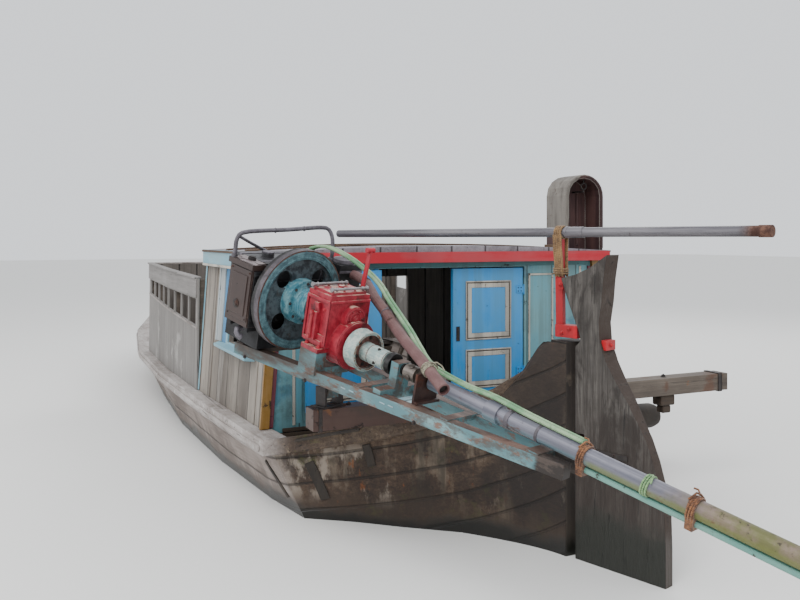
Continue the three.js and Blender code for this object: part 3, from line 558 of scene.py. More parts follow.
MATERIALS = {
    "hull": hull_wood(),
    "wale": wale_wood(),
    "rudder": rudder_wood(),
    "post": wood("post_timber", "17120f", "2e2723", "4f4740", "Z", wet=True,
                 stains=(("6b5f54", 4.0, .55, .66, .6),)),
    "keel": wood("keel_timber", "1c1612", "33291f", "4d4034", "Y", wet=True),
    "deck": wood("deck_boards", "4c453f", "77706a", "9a948d", "Y", board=("X", 0.18),
                 stains=(("3b332c", 3.0, .52, .66, .6),)),
    "stern_deck": wood("stern_deck_boards", "413a33", "6b635b", "8d857c", "X", board=("Y", 0.17),
                       stains=(("2e2620", 3.5, .5, .64, .6),)),
    "floor": wood("floor_planks", "3b332c", "5c5249", "766c61", "Y", board=("X", 0.2)),
    "frame_wood": wood("frame_timber", "3a322b", "5d534a", "7b7166", "X"),
    "boards": wood("wall_boards", "6a625b", "8a8279", "a59d93", "Z", board=("Y", 0.24, 0.004), spread=1.3,
                   stains=(("5d554e", (3, 3, 0.5), .52, .66, .6), ("bfbab3", (4, 4, 0.4), .56, .68, .5))),
    "panel": wood("panel_boards", "77726e", "8e8a86", "a29d99", "Z", board=("Y", 0.78, 0.004), spread=0.5,
                  stains=(("6f6862", (2, 2, 0.6), .54, .7, .5), ("c9c5c0", 3.0, .58, .7, .5))),
    "rail_board": wood("rail_boards", "716d6a", "8f8b88", "aca8a5", "Y", spread=0.5,
                       stains=(("5f5a55", (6, 0.7, 6), .54, .7, .5),)),
    "inner_wall": wood("inner_boards", "4c4641", "6d6660", "8a837c", "Z", board=("X", 0.18, 0.006)),
    "rail_wood": wood("rail_timber", "7b7370", "9f9792", "bdb6b1", "Y", spread=0.6,
                      stains=(("6a5d56", 4.0, .54, .66, .6),)),
    "sill_wood": wood("sill_timber", "2d241d", "4a3d32", "65564a", "X"),
    "beam": wood("beam_timber", "3d342d", "6a6057", "94897e", "X",
                 stains=(("5e3a26", 4.0, .55, .65, .6), ("8c5425", 9.0, .62, .70, .5))),
    "beam_end": paint("beam_end_coat", "432b23", "2c1e18", fade="573d33", chips=0.45, along="X",
                      blots=(("85501f", 8.0, .60, .67, .6), ("3a2a22", 4.0, .52, .64, .6))),
    "cowl": cowl_coat(),
    "gear": gear_paint(),
    "rails": frame_paint(),
    "coupling": coupling_paint(),
    "flywheel": flywheel_iron(),
    "tube": tube_metal(),
    "hose": hose_rubber(),
    "tiller": tiller_pipe(),
    "propeller": propeller_metal(),
    "teal": paint("bulkhead_teal", "6a9ea8", "4a4038", fade="86b4ba", chips=0.3, board=("X", 0.21),
                  blots=(("2f6f93", 5.0, .56, .64, .45), ("39504e", 3.0, .54, .68, .5))),
    "sky": paint("door_sky", "4298dc", "3b4d58", fade="62ade2", chips=0.24, dirt=0.22,
                 blots=(("27445c", (26, 26, 5), .66, .70, .8),)),
    "sky_dark": paint("door_groove", "6d6157", "3d342d", chips=0.4),
    "cream": paint("trim_cream", "cfc8ba", "6d5b49", fade="dcd7cc", chips=0.42, size=30, dirt=0.45),
    "header": paint("header_teal", "3c6e72", "3a322c", fade="4d8286", chips=0.4),
    "fascia_red": paint("fascia_red", "bd2534", "6e4a42", fade="cf5159", chips=0.2, along="X", dirt=0.25),
    "eave": paint("eave_blue", "86b3c3", "8d8984", fade="a5c8d2", chips=0.34, along="Y", dirt=0.25),
    "window_blue": paint("window_blue", "3f7fae", "6b625a", fade="5b9ac4", chips=0.35),
    "ochre": paint("post_ochre", "8a6526", "5d4630", fade="ad8b5c", chips=0.5),
    "maroon": paint("edge_maroon", "6f2f3d", "4a3a34", fade="85505a", chips=0.45),
    "red_iron": paint("rudder_red", "c01f2c", "5b3a34", fade="cf3a42", chips=0.22, size=26,
                      group=RUDDER, metal=0.5),
    "lever": paint("lever_red", "b92838", "4b3834", fade="c8414d", chips=0.3, size=40, group=TAIL, metal=0.5),
    "roof": wood("roof_boards", "6b676b", "918d93", "aaa6ab", "Y", board=("X", 0.26), rough=0.7,
                 stains=(("4b4541", 2.6, .54, .66, .5), ("c2bdbd", 6.0, .58, .7, .5))),
    "roof_edge": wood("roof_edging", "3c2a22", "57402f", "7a6450", "Y"),
    "lashing": rope("lashing_strap", "a07f58", "5e4630"),
    "rope": rope("binding_rope", "9a6a48", "4a2c1e"),
    "green_tie": rope("green_tie", "9dbf8a", "4d7a52"),
    "white_tie": rope("pale_tie", "b9b39d", "67604f"),
    "block": iron("engine_iron", "1d1d1f", "3b2a22", "3a3a3d", 0.35, metal=0.4, group=TAIL, oil=0.7),
    "tank": paint("tank_coat", "2a2a2d", "4b3a30", fade="3d3c40", chips=0.4, group=TAIL, rough=0.45,
                  metal=0.3),
    "radiator": paint("radiator_coat", "33231f", "1b1411", fade="44322d", chips=0.35, group=TAIL, size=14,
                      dirt=0.5, blots=(("7d6a62", 9.0, .58, .68, .5),)),
    "flakes": paint("flaked_cover", "8a7f80", "4a3835", fade="b3a7a3", chips=0.55, group=TAIL, size=12),
    "grey_iron": iron("fittings_iron", "605c60", "5f4136", "86828a", 0.45, group=TAIL),
    "dark_iron": iron("dark_fittings", "2f2b2b", "57382c", "48423f", 0.55, metal=0.4),
    "hoop": iron("hoop_pipe", "5f5b60", "5b4038", "86828a", 0.3, group=TAIL, along="X", metal=0.5),
    "exhaust": iron("exhaust_pipe_iron", "6f5150", "4d3029", "8a6c69", 0.4, size=16, metal=0.2, rough=0.7,
                    group=TAIL),
    "bracket": iron("bracket_iron", "3a2825", "5a3528", "543c36", 0.5, metal=0.3, group=TAIL),
    "pale_bars": paint("cross_bars", "9dbcc6", "6c5a52", fade="c3d4d8", chips=0.42, group=TAIL, size=22),
    "shaft": iron("shaft_steel", "6d655f", "6b4130", "8e867f", 0.6, metal=0.7, rough=0.4, group=TAIL),
    "grease": iron("greasy_collar", "121212", "1f1a18", "262425", 0.2, metal=0.3, rough=0.35, group=TAIL),
    "pale_casing": paint("window_casing", "b9c3c6", "8d8984", fade="cdd4d5", chips=0.4, dirt=0.4),
    "strap_wood": wood("strap_timber", "1d1713", "37302a", "554b42", "Z"),
    # Near black for the plug in the exhaust's mouth: its soot, and painted shade inside the pipe
    "soot_and_shade": paint("soot_and_shade_black", "0d0b0a", "171311", fade="1c1816", chips=0.2, group=TAIL, size=20),
    "pale_pipe": paint("pale_pipe", "a8a5a2", "6c6663", fade="c4c2bf", chips=0.3, group=TAIL, size=30),
    "hub_paint": paint("hub_paint", "5c93a4", "4a3832", fade="7fb0bc", chips=0.45, size=24, group=TAIL,
                       metal=0.4),
    "steel_rods": iron("gearbox_rod_steel", "8d8a8c", "6b4638", "b5b1b2", 0.35, metal=0.7, rough=0.4,
                       group=TAIL),
    "wall_panel": paint("wall_panel", "6aa2b0", "4a4038", fade="86b4ba", chips=0.3),
    "stay": paint("stay_green", "6ea196", "6b5446", fade="8fbcae", chips=0.45, group=TAIL, along="Y",
                  size=20),
}

# Which nodes of the CAD model each material goes on
DRESS = {
    "hull": "hull_shell", "keel": "keel", "post": "stern_post stem_post",
    "wale": "gunwale_port gunwale_starboard", "stern_deck": "stern_deck", "deck": "fore_deck",
    "floor": "floor_boards", "frame_wood": "stern_frame hold_frame_aft hold_frame_fore",
    "boards": "cabin_wall_port cabin_wall_starboard", "panel": "bulwark_port bulwark_starboard",
    "inner_wall": "fore_bulkhead hold_front_board", "teal": "aft_bulkhead", "sill_wood": "bulkhead_sill",
    "ochre": "corner_post_port corner_post_starboard", "roof": "roof", "fascia_red": "fascia_aft",
    "eave": "fascia_port fascia_starboard", "cowl": "roof_cowl", "beam": "crossbeam",
    "dark_iron": "tail_bearer gudgeon_1 gudgeon_2", "sky": "door_port door_starboard",
    "rails": "engine_frame", "bracket": "tube_bracket", "block": "engine_block air_cleaner",
    "radiator": "radiator_box", "tank": "fuel_tank", "hoop": "engine_hoop", "gear": "gearbox",
    "lever": "gear_lever", "tube": "tail_tube", "stay": "tail_stay",
    "rope": "tube_band_1 tube_band_2 tube_band_3", "exhaust": "exhaust_pipe",
    "hose": "coolant_hose_1 coolant_hose_2", "flywheel": "flywheel", "coupling": "shaft_coupling",
    "shaft": "propeller_shaft", "propeller": "propeller", "rudder": "rudder_blade",
    "red_iron": "rudder_iron", "tiller": "tiller", "lashing": "tiller_lashing",
}
for key, names in DRESS.items():
    for node in names.split():
        slots = NODES[node].material_slots
        if not slots:
            NODES[node].data.materials.append(MATERIALS[key])
        for slot in slots:
            slot.link = "OBJECT"
            slot.material = MATERIALS[key]


# Mesh tools. Sizes are in metres, in the frame of the group that the piece belongs to

# Corners sharper than these stay sharp in shading, and are rounded
SMOOTH_DEG, BEVEL_DEG = 42, 38


class Build:
    """Gathers many small forms into one mesh. Each form returns it, so that calls can follow on."""

    def __init__(self):
        self.mesh = bmesh.new()

    def faces(self, rings, caps=True):
        """A skin over rings of points."""
        rows = [[self.mesh.verts.new(point) for point in ring] for ring in rings]
        count = len(rows[0])
        for low, high in zip(rows, rows[1:]):
            for i in range(count):
                j = (i + 1) % count
                self.mesh.faces.new((low[i], low[j], high[j], high[i]))
        if caps:
            self.mesh.faces.new(list(reversed(rows[0])))
            self.mesh.faces.new(rows[-1])
        return self

    def block(self, corner, opposite, matrix=WORLD):
        (x0, x1), (y0, y1), (z0, z1) = (sorted(pair) for pair in zip(corner, opposite))
        rings = [[(x0, y0, z), (x1, y0, z), (x1, y1, z), (x0, y1, z)] for z in (z0, z1)]
        return self.faces([[matrix @ Vector(p) for p in ring] for ring in rings])

    def blocks(self, *pairs):
        for corner, opposite in pairs:
            self.block(corner, opposite)
        return self

    def prism(self, outline, axis, start, end):
        """An outline in the plane across an axis, drawn along it."""
        at = "XYZ".index(axis)
        return self.faces([[(*p[:at], t, *p[at:]) for p in outline] for t in (start, end)])

    def drum(self, start, end, radius, sides=18, end_radius=None):
        start, end = Vector(start), Vector(end)
        side, up = across(end - start)
        ends = ((start, radius), (end, radius if end_radius is None else end_radius))
        return self.faces([disc(centre, size, side, up, sides) for centre, size in ends])

    def tube(self, points, radius, sides=10):
        points = [Vector(p) for p in points]
        rings = []
        side = None
        for i, point in enumerate(points):
            ahead = points[min(i + 1, len(points) - 1)] - points[max(i - 1, 0)]
            if side is None:
                side = across(ahead)[0]
            side = (side - ahead.normalized() * side.dot(ahead.normalized())).normalized()
            rings.append(disc(point, radius, side, ahead.normalized().cross(side), sides))
        return self.faces(rings)

    def ring(self, centre, normal, radius, thick, sides=28, around=8):
        centre, axis = Vector(centre), Vector(normal).normalized()
        side, up = across(axis)
        rings = []
        for a in turns(sides):
            out = side * math.cos(a) + up * math.sin(a)
            rings.append([centre + out * (radius + thick * math.cos(b)) + axis * thick * math.sin(b)
                          for b in turns(around)])
        return self.faces(rings + rings[:1], caps=False)

    def bolt(self, at, out, size=0.010):
        """Washer, hexagon nut and rounded end of a bolt."""
        at, out = Vector(at), Vector(out).normalized()
        self.drum(at - out * 0.002, at + out * size * 0.22, size * 1.45, 14)
        self.drum(at + out * size * 0.2, at + out * size * 1.1, size, 6, size * 0.96)
        return self.drum(at + out * size, at + out * size * 1.5, size * 0.5, 8, size * 0.36)

    def bolts(self, places, out, size):
        for at in places:
            self.bolt(at, out, size)
        return self

    def strip(self, points, width, thick, lift=0.0):
        """A plate laid along (point, normal) pairs on a surface."""
        rings = []
        for i, (point, normal) in enumerate(points):
            ahead = points[min(i + 1, len(points) - 1)][0] - points[max(i - 1, 0)][0]
            side = normal.cross(ahead).normalized() * width / 2
            low, high = point + normal * (lift - 0.001), point + normal * (lift + thick)
            rings.append([low - side, low + side, high + side, high - side])
        return self.faces(rings)

    def place(self, name, material, bevel=0.002, smooth=False, body="hull", group=WORLD, segments=2):
        """The piece itself, in the world, riding on its body."""
        bmesh.ops.remove_doubles(self.mesh, verts=self.mesh.verts, dist=1e-6)
        bmesh.ops.recalc_face_normals(self.mesh, faces=self.mesh.faces)
        data = bpy.data.meshes.new(name)
        self.mesh.to_mesh(data)
        self.mesh.free()
        data.materials.append(MATERIALS[material])
        if smooth:
            data.shade_smooth()
            data.set_sharp_from_angle(angle=math.radians(SMOOTH_DEG))
        data.transform(group)
        obj = new_object(name, data)
        if bevel:
            rounding = obj.modifiers.new("rounding", "BEVEL")
            rounding.width = bevel
            rounding.segments = segments
            rounding.limit_method = "ANGLE"
            rounding.angle_limit = math.radians(BEVEL_DEG)
        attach(obj, body)
        return obj

    def on_tail(self, name, material, bevel=0.002, smooth=False, body="longtail", segments=2):
        return self.place(name, material, bevel, smooth, body, TAIL, segments)

    def on_rudder(self, name, material, bevel=0.0, smooth=False):
        return self.place(name, material, bevel, smooth, "rudder", RUDDER)


def turns(count):
    return [2 * math.pi * i / count for i in range(count)]


def disc(centre, radius, side, up, sides):
    return [centre + radius * (side * math.cos(a) + up * math.sin(a)) for a in turns(sides)]


def circle(x, y, z, radius, count, start=0.0):
    """Places around an axle that runs along Y."""
    angles = [a + start for a in turns(count)]
    return [Vector((x + radius * math.cos(a), y, z + radius * math.sin(a))) for a in angles]


def across(axis):
    """Two directions square to an axis."""
    axis = axis.normalized()
    side = (UP if abs(axis.z) < 0.9 else Vector((1, 0, 0))).cross(axis).normalized()
    return side, axis.cross(side)


def span(start, end, count):
    return [start + (end - start) * i / (count - 1) for i in range(count)]


TREES = {}


def hit(node, start, ahead):
    """(place, normal towards the ray's start) where a ray meets a node, or (None, None)."""
    if node not in TREES:
        mesh = NODES[node].data
        points = [NODES[node].matrix_world @ v.co for v in mesh.vertices]
        TREES[node] = BVHTree.FromPolygons(points, [list(p.vertices) for p in mesh.polygons])
    ahead = Vector(ahead)
    place, normal, _, _ = TREES[node].ray_cast(Vector(start), ahead)
    return (None, None) if place is None else (place, normal if normal.dot(ahead) < 0 else -normal)


def seen(px, py, node):
    """(place, outward normal) where the photograph's pixel meets a node."""
    east = math.radians(HEADING_DEG)
    ray = Vector((math.sin(east), math.cos(east), 0))
    ray += Vector((math.cos(east), -math.sin(east), 0)) * (px - WIDTH_PX / 2) / FOCAL_PX
    ray += UP * (HORIZON_PX - py) / FOCAL_PX
    return hit(node, EYE, ray.normalized())


# Half breadth from which rays look inward, outside everything, in metres
ABEAM = 4


def beside(node, side, y, z):
    """(place, outward normal) on a node's outer face, from abeam."""
    return hit(node, (side * ABEAM, y, z), (-side, 0, 0))


def half_breadth(nodes, side, y, z):
    """How far the widest of these nodes reaches from the centre plane at a place, or None."""
    places = [beside(node, side, y, z)[0] for node in nodes]
    return max((abs(place.x) for place in places if place is not None and place.x * side > 0), default=None)


# Cabin, bulwarks and roof

# Each side window's aft and fore edge, then heights on the side walls
WINDOWS = {"port": (-2.92, -2.38), "starboard": (-2.72, -2.06)}
WALL_FOOT, SILL_TOP, WALL_HEAD = 0.488, 0.915, 1.435
WINDOW_FOOT, WINDOW_HEAD, SURROUND = 0.93, 1.33, 0.024
EAVE_Z, ROOF_EDGE_Z = 1.450, 1.553
SILL_OUTLINE = ((0.0, 0.872), (0.070, 0.880), (0.074, 0.900), (0.0, 0.922))


def add_cabin_sides():
    for side, name in SIDES:
        wall, fascia = f"cabin_wall_{name}", f"fascia_{name}"
        aft, fore = WINDOWS[name]

        def upright(y, foot=WALL_FOOT):
            return [beside(wall, side, y, z) for z in span(foot, WALL_HEAD, 3)]

        rows = [(place + Vector((0, 0.0195, 0)), normal) for place, normal in upright(-1.701)]
        Build().strip(rows, 0.034, 0.012, -0.006).place(f"joint_trim_{name}", "eave", 0.003)
        Build().strip(upright(-1.7075), 0.010, 0.004).place(f"joint_gap_{name}", "roof_edge", 0.001)
        battens = Build().strip(upright(-3.02), 0.032, 0.006).strip(upright(-1.98), 0.032, 0.006)
        battens.place(f"wall_battens_{name}", "boards")
        jamb = Build().strip(upright(fore + 0.085, SILL_TOP), 0.120, 0.008)
        jamb.place(f"window_jamb_{name}", "window_blue")
        casing = Build().strip(upright(fore + 0.200, SILL_TOP), 0.095, 0.016)
        casing.strip(upright(fore + 0.262, SILL_TOP), 0.024, 0.022)
        casing.place(f"window_casing_{name}", "pale_casing", 0.003)

        y0, y1, z0, z1 = aft - SURROUND, fore + SURROUND, WINDOW_FOOT - SURROUND, WINDOW_HEAD + SURROUND
        corners = [beside(wall, side, y, z) for y, z in ((y0, z0), (y1, z0), (y1, z1), (y0, z1))]
        surround = Build()
        for pair in zip(corners, corners[1:] + corners[:1]):
            surround.strip(pair, 0.042, 0.013)
        surround.place(f"window_surround_{name}", "eave", 0.003)

        x_in = abs(corners[0][0].x) - 0.045
        near, far = side * (x_in - 0.012), side * (x_in + 0.010)
        centre = (aft + fore) / 2
        bars = Build()
        for y in (aft + 0.012, centre, fore - 0.012):
            bars.block((near, y - 0.011, 0.934), (far, y + 0.011, 1.326))
        for z in (0.938, 1.30):
            bars.block((near, aft + 0.004, z), (far, fore - 0.004, z + 0.022))
        bars.place(f"window_bars_{name}", "window_blue")

        x_out = abs(beside(wall, side, centre, 0.90)[0].x)
        outline = [(side * (x_out + out), z) for out, z in SILL_OUTLINE]
        sill = Build().prism(outline, "Y", aft - 0.090, fore + 0.210)
        sill.place(f"window_sill_{name}", "eave", 0.003)

        rows = [beside(fascia, side, y, EAVE_Z) for y in span(-3.22, -1.66, 5)]
        Build().strip(rows, 0.018, 0.008).place(f"eave_lip_{name}", "cream")
        rows = [beside(fascia, side, y, ROOF_EDGE_Z) for y in span(-3.225, -1.645, 5)]
        Build().strip(rows, 0.016, 0.010).place(f"eave_edging_{name}", "roof_edge")


# The hold's aft end and its length
HOLD_AFT_Y, HOLD_LENGTH = -1.70, 2.40


def along_hold(aft, fore, y):
    """A height that goes from aft, at the cabin, to fore, at the hold's front board."""
    return aft + (fore - aft) * (y - HOLD_AFT_Y) / HOLD_LENGTH


def add_bulwarks():
    ys = span(-1.645, 0.685, 9)
    for side, name in SIDES:
        wall = f"bulwark_{name}"
        rows = [beside(wall, side, y, along_hold(1.262, 1.314, y)) for y in ys]
        Build().strip(rows, 0.148, 0.012).place(f"top_board_{name}", "rail_board", 0.003)
        tops = []
        for y in ys:
            z = along_hold(1.336, 1.388, y)
            tops.append((Vector((beside(wall, side, y, z - 0.01)[0].x - side * 0.004, y, z)), UP))
        Build().strip(tops, 0.058, 0.014).place(f"rail_cap_{name}", "rail_board", 0.004)
        rows = [beside(wall, side, y, along_hold(0.952, 1.085, y)) for y in ys]
        Build().strip(rows, 0.014, 0.006).place(f"panel_ledge_{name}", "rail_wood")
        posts = Build()
        for y in (-1.62, -0.77, 0.07, 0.64):
            x = abs(beside(wall, side, y, 0.9)[0].x) - 0.020
            top = along_hold(1.330, 1.382, y)
            posts.block((side * (x - 0.050), y - 0.022, 0.50), (side * (x - 0.001), y + 0.022, top))
        posts.place(f"hold_posts_{name}", "frame_wood", 0.003)
    Build().block((-1.345, 0.668, 1.380), (1.345, 0.708, 1.400)).place("front_rail_cap", "rail_wood", 0.006)
    battens = Build()
    for z in (0.62, 0.86, 1.10, 1.29):
        battens.block((-1.335, 0.7002, z), (1.335, 0.7095, z + 0.035))
    battens.place("front_board_battens", "rail_wood", 0.003)


WALL_Y = -3.1802
# (x, z) around the starboard edge board of the aft wall, mirrored to port
EDGE_OUTLINE = ((1.249, 0.487), (1.222, 0.487), (1.148, 1.448), (1.172, 1.448))


def add_aft_wall():
    def plate(build, x0, z0, x1, z1, thick):
        return build.block((x0, WALL_Y - thick, z0), (x1, WALL_Y, z1))

    trim = Build()
    for x0, z0, x1, z1 in (
        (0.640, 0.600, 0.654, 1.400), (0.836, 0.600, 0.850, 1.400), (0.640, 1.386, 0.850, 1.400),
        (0.640, 0.600, 0.850, 0.614), (-1.095, 0.49, -1.077, 1.448), (1.077, 0.49, 1.095, 1.448),
    ):
        plate(trim, x0, z0, x1, z1, 0.006)
    trim.place("wall_trim", "cream", 0.0015)
    panels = plate(Build(), 0.655, 0.616, 0.835, 1.384, 0.0025)
    plate(panels, -1.076, 0.50, -1.03, 1.44, 0.0025).place("wall_panels", "wall_panel", 0.001)
    header = plate(Build(), -1.165, 1.456, 1.165, 1.4985, 0.010)
    header.block((-1.165, WALL_Y - 0.018, 1.486), (1.165, WALL_Y - 0.0102, 1.4985))
    header.place("wall_header", "header")
    edges = Build()
    for side, _ in SIDES:
        edges.prism([(side * x, z) for x, z in EDGE_OUTLINE], "Y", WALL_Y - 0.014, WALL_Y)
    edges.place("corner_edges", "maroon")
    jamb = plate(Build(), -0.548, 0.535, -0.516, 1.452, 0.005)
    plate(jamb, -0.548, 0.530, 0.640, 0.556, 0.005).place("door_jamb", "window_blue", 0.0015)
    plate(Build(), -1.16, 0.452, 1.16, 0.478, 0.012).place("wall_skirting", "sill_wood", 0.004)


# Each leaf: its frame, its two upright edges, which way it reaches from the hinge
LEAVES = (("port", PORT_LEAF, 0.006, 0.520, 1), ("starboard", STARBOARD_LEAF, -0.564, -0.006, -1))
LEAF_FACES = ((-1, 0.006), (1, 0.036))
PANEL_HEIGHTS = ((0.622, 0.888), (0.952, 1.356))
STILE = 0.098
# (distance off the leaf, height) along a pull handle
HANDLE = ((0, 0.965), (0.008, 0.972), (0.010, 1.0), (0.008, 1.028), (0, 1.035))


def add_doors():
    for name, group, x0, x1, to in LEAVES:
        def ride(build, piece, material, bevel):
            build.place(f"{piece}_{name}", material, bevel, body=f"{name}_door", group=group)

        cream, groove, centre, fittings = Build(), Build(), Build(), Build()
        grip = (x1 if to > 0 else x0) - to * 0.038
        for outward, base in LEAF_FACES:
            for z0, z1 in PANEL_HEIGHTS:
                moulding(cream, groove, centre, (x0 + STILE, z0), (x1 - STILE, z1), base, outward)
            fittings.block((grip - 0.014, base, 0.95), (grip + 0.014, base + outward * 0.0035, 1.05))
            fittings.tube([(grip, base + outward * off, z) for off, z in HANDLE], 0.0028, 8)
        for z in (0.720, 1.290):
            for x in (to * 0.022, to * 0.046):
                for height in (z - 0.012, z + 0.012):
                    fittings.drum((x, 0.0015, height), (x, 0.0003, height), 0.005, 12)
        ride(cream, "door_moulding", "cream", 0.0012)
        ride(groove, "door_groove", "sky_dark", 0)
        ride(centre, "door_panels", "sky", 0.002)
        ride(fittings, "door_fittings", "dark_iron", 0.0006)


def moulding(cream, groove, centre, low, high, base, outward):
    """A raised frame around a door panel, on the face at y = base."""
    for build, inset, width, thick in (
        (cream, 0.0, 0.009, 0.0052), (groove, 0.0092, 0.0075, 0.0012), (cream, 0.017, 0.030, 0.0034),
    ):
        x0, z0, x1, z1 = low[0] + inset, low[1] + inset, high[0] - inset, high[1] - inset
        y = base + outward * thick
        build.blocks(
            ((x0, base, z0), (x1, y, z0 + width)), ((x0, base, z1 - width), (x1, y, z1)),
            ((x0, base, z0 + width), (x0 + width, y, z1 - width)),
            ((x1 - width, base, z0 + width), (x1, y, z1 - width)),
        )
    inset = 0.0475
    corner = (low[0] + inset, base, low[1] + inset)
    centre.block(corner, (high[0] - inset, base + outward * 0.0022, high[1] - inset))


def add_roof():
    battens = Build()
    for y in (-2.72, -2.20):
        battens.strip([(hit("roof", (x, y, 3), DOWN)[0], UP) for x in span(-1.27, 1.27, 13)], 0.05, 0.012)
    battens.place("roof_battens", "roof_edge", 0.003)
    beams = Build()
    for y in span(-3.05, -1.85, 5):
        beams.block((-1.20, y - 0.02, 1.452), (1.20, y + 0.02, 1.4995))
    beams.place("roof_beams", "inner_wall", 0.003)
    ribs = Build()
    for x in (1.075, 1.195):
        ribs.tube([(x, -2.998, 1.60), (x, -3.001, 1.85), (x, -2.999, 1.99)], 0.013, 10)
    ribs.place("cowl_ribs", "cowl", 0, True)
    arch = [(1.135 - 0.1575 * math.cos(a), 1.958 + 0.1475 * math.sin(a)) for a in span(0, math.pi, 15)]
    outline = [(0.9775, 1.585), (0.9775, 1.80), *arch, (1.2925, 1.80), (1.2925, 1.575)]
    Build().tube([(x, -3.171, z) for x, z in outline], 0.009, 10).place("cowl_lip", "cowl", 0, True)
    hook = Build().ring((1.165, -3.120, 2.030), (0, 1, 0.25), 0.024, 0.005)
    hook.drum((1.165, -3.120, 2.052), (1.165, -3.120, 2.092), 0.006, 10)
    hook.block((1.140, -3.145, 1.985), (1.150, -3.015, 1.997)).place("cowl_ring", "dark_iron", 0.001)
    foot = Build().block((0.950, -3.172, 1.578), (0.969, -2.928, 1.602))
    foot.place("cowl_flashing", "roof_edge", 0.003)


# Hull, decks and stern

# (pixels of the photograph along the strap, its width in metres)
STRAPS = (
    (((266, 460), (272, 470), (279, 481), (289, 497)), 0.036),
    (((309, 462), (315, 474), (320, 485), (326, 499)), 0.060),
    (((366, 444), (369, 454), (372, 466)), 0.050),
)
PATCH = ((296, 441), (318, 437), (340, 433), (360, 430))


def add_hull_parts():
    straps = Build()
    for route, width in STRAPS:
        straps.strip([seen(px, py, "hull_shell") for px, py in route], width, 0.008)
    straps.place("hull_straps", "strap_wood", 0.003)
    rows = [(seen(px, py, "gunwale_port")[0], UP) for px, py in PATCH]
    Build().strip(rows, 0.070, 0.012).place("gunwale_patch", "strap_wood", 0.004)
    for side, name in SIDES:
        gunwale = f"gunwale_{name}"
        rows = [beside(gunwale, side, y, rim(gunwale, side, y) - 0.060) for y in span(-3.40, 3.6, 26)]
        Build().strip(rows, 0.038, 0.012).place(f"rub_rail_{name}", "wale", 0.005)
        nails = Build()
        for count, y in enumerate(span(-3.30, 3.5, 22)):
            y += 0.07 * math.sin(count * 2.3)
            place, normal = beside(gunwale, side, y, rim(gunwale, side, y) - 0.026)
            nails.drum(place - normal * 0.002, place + normal * 0.001, 0.0045, 8)
        nails.place(f"wale_nails_{name}", "dark_iron", 0)
        ribs = Build()
        for y in span(-1.55, 0.45, 6):
            rows = [hit("hull_shell", (0, y, z), (side, 0, 0)) for z in span(0.42, -0.13, 6)]
            rows = [row for row in rows if row[0] is not None]
            if len(rows) > 2:
                ribs.strip(rows, 0.055, 0.030)
        ribs.place(f"hold_ribs_{name}", "frame_wood", 0.003)


def rim(gunwale, side, y):
    """Height of a gunwale's outer top edge."""
    for x in span(1.60, 0.10, 76):
        place, _ = hit(gunwale, (side * x, y, 3), DOWN)
        if place is not None:
            return place.z


def add_decks():
    hatch = Build().block((-0.42, 1.55, 0.4555), (0.42, 2.30, 0.505))
    for y in span(1.62, 2.23, 4):
        hatch.block((-0.40, y - 0.012, 0.5052), (0.40, y + 0.012, 0.516))
    hatch.place("fore_hatch", "deck", 0.005)
    bitts = Build()
    for x in (-0.16, 0.16):
        bitts.block((x - 0.045, 3.02, 0.4555), (x + 0.045, 3.11, 0.80))
    bitts.block((-0.34, 3.012, 0.665), (0.34, 3.118, 0.735))
    bitts.place("mooring_bitts", "post", 0.010, segments=3)
    rings, knees = Build(), Build()
    for side, _ in SIDES:
        rings.ring((side * 0.30, 3.45, 0.470), (side * 0.3, 0.2, 1), 0.040, 0.006)
        rings.bolt((side * 0.30, 3.45 + 0.052, 0.456), UP, 0.010)
        outline = [(side * x, y) for x, y in ((0.06, -4.16), (0.26, -4.02), (0.24, -3.98), (0.06, -4.05))]
        knees.prism(outline, "Z", 0.4305, 0.470)
    rings.place("mooring_rings", "dark_iron", 0)
    nails = Build()
    for x in span(-0.9, 0.9, 11):
        for y in (-3.36, -3.72):
            nails.drum((x, y, 0.429), (x, y, 0.4325), 0.006, 8)
    nails.place("stern_deck_nails", "dark_iron", 0)
    knees.place("stern_knees", "post", 0.006)


def add_beam_parts():
    bands = Build()
    for x, wide in ((1.595, 0.030), (-1.215, 0.022)):
        end = x + wide
        bands.blocks(
            ((x, -4.006, 0.629), (end, -4.0002, 0.751)), ((x, -3.8798, 0.629), (end, -3.874, 0.751)),
            ((x, -4.006, 0.7452), (end, -3.874, 0.751)), ((x, -4.006, 0.629), (end, -3.874, 0.6348)),
        )
    bands.place("beam_bands", "dark_iron", 0.001)
    chock = Build().block((1.12, -3.985, 0.565), (1.24, -3.90, 0.6345))
    chock.block((1.145, -3.975, 0.515), (1.215, -3.91, 0.5652))
    chock.place("beam_chock", "sill_wood", 0.012, segments=3)
    heads = [(x, -3.94, 0.7452) for x in (-1.02, -0.66, 1.18, 0.55)]
    Build().bolts(heads, UP, 0.013).place("beam_bolts", "dark_iron", 0)
    coat = Build().blocks(
        ((-1.2425, -4.0035, 0.633), (-0.42, -4.0002, 0.747)),
        ((-1.2425, -4.0035, 0.7452), (-0.42, -3.878, 0.7475)),
        ((-1.2435, -4.0035, 0.633), (-1.2402, -3.878, 0.7475)),
    )
    coat.place("beam_end", "beam_end", 0.001)
    rings = []
    for x, size in ((1.02, 0.080), (1.20, 0.088), (1.36, 0.084), (1.405, 0.070), (1.415, 0.040)):
        rings.append([(x, -3.60 + size * math.cos(a), 0.415 + size * math.sin(a)) for a in turns(20)])
    Build().faces(rings).place("quarter_log", "strap_wood", 0.004, True)


# (y, z) along the cheeks' top edge, from the stern post's horn forward
CHEEK_TOP = (
    (-4.600, 1.100), (-4.430, 1.098), (-4.371, 1.004), (-4.287, 0.872), (-4.232, 0.826), (-4.065, 0.747),
)
CHEEK_FOOT = -0.28
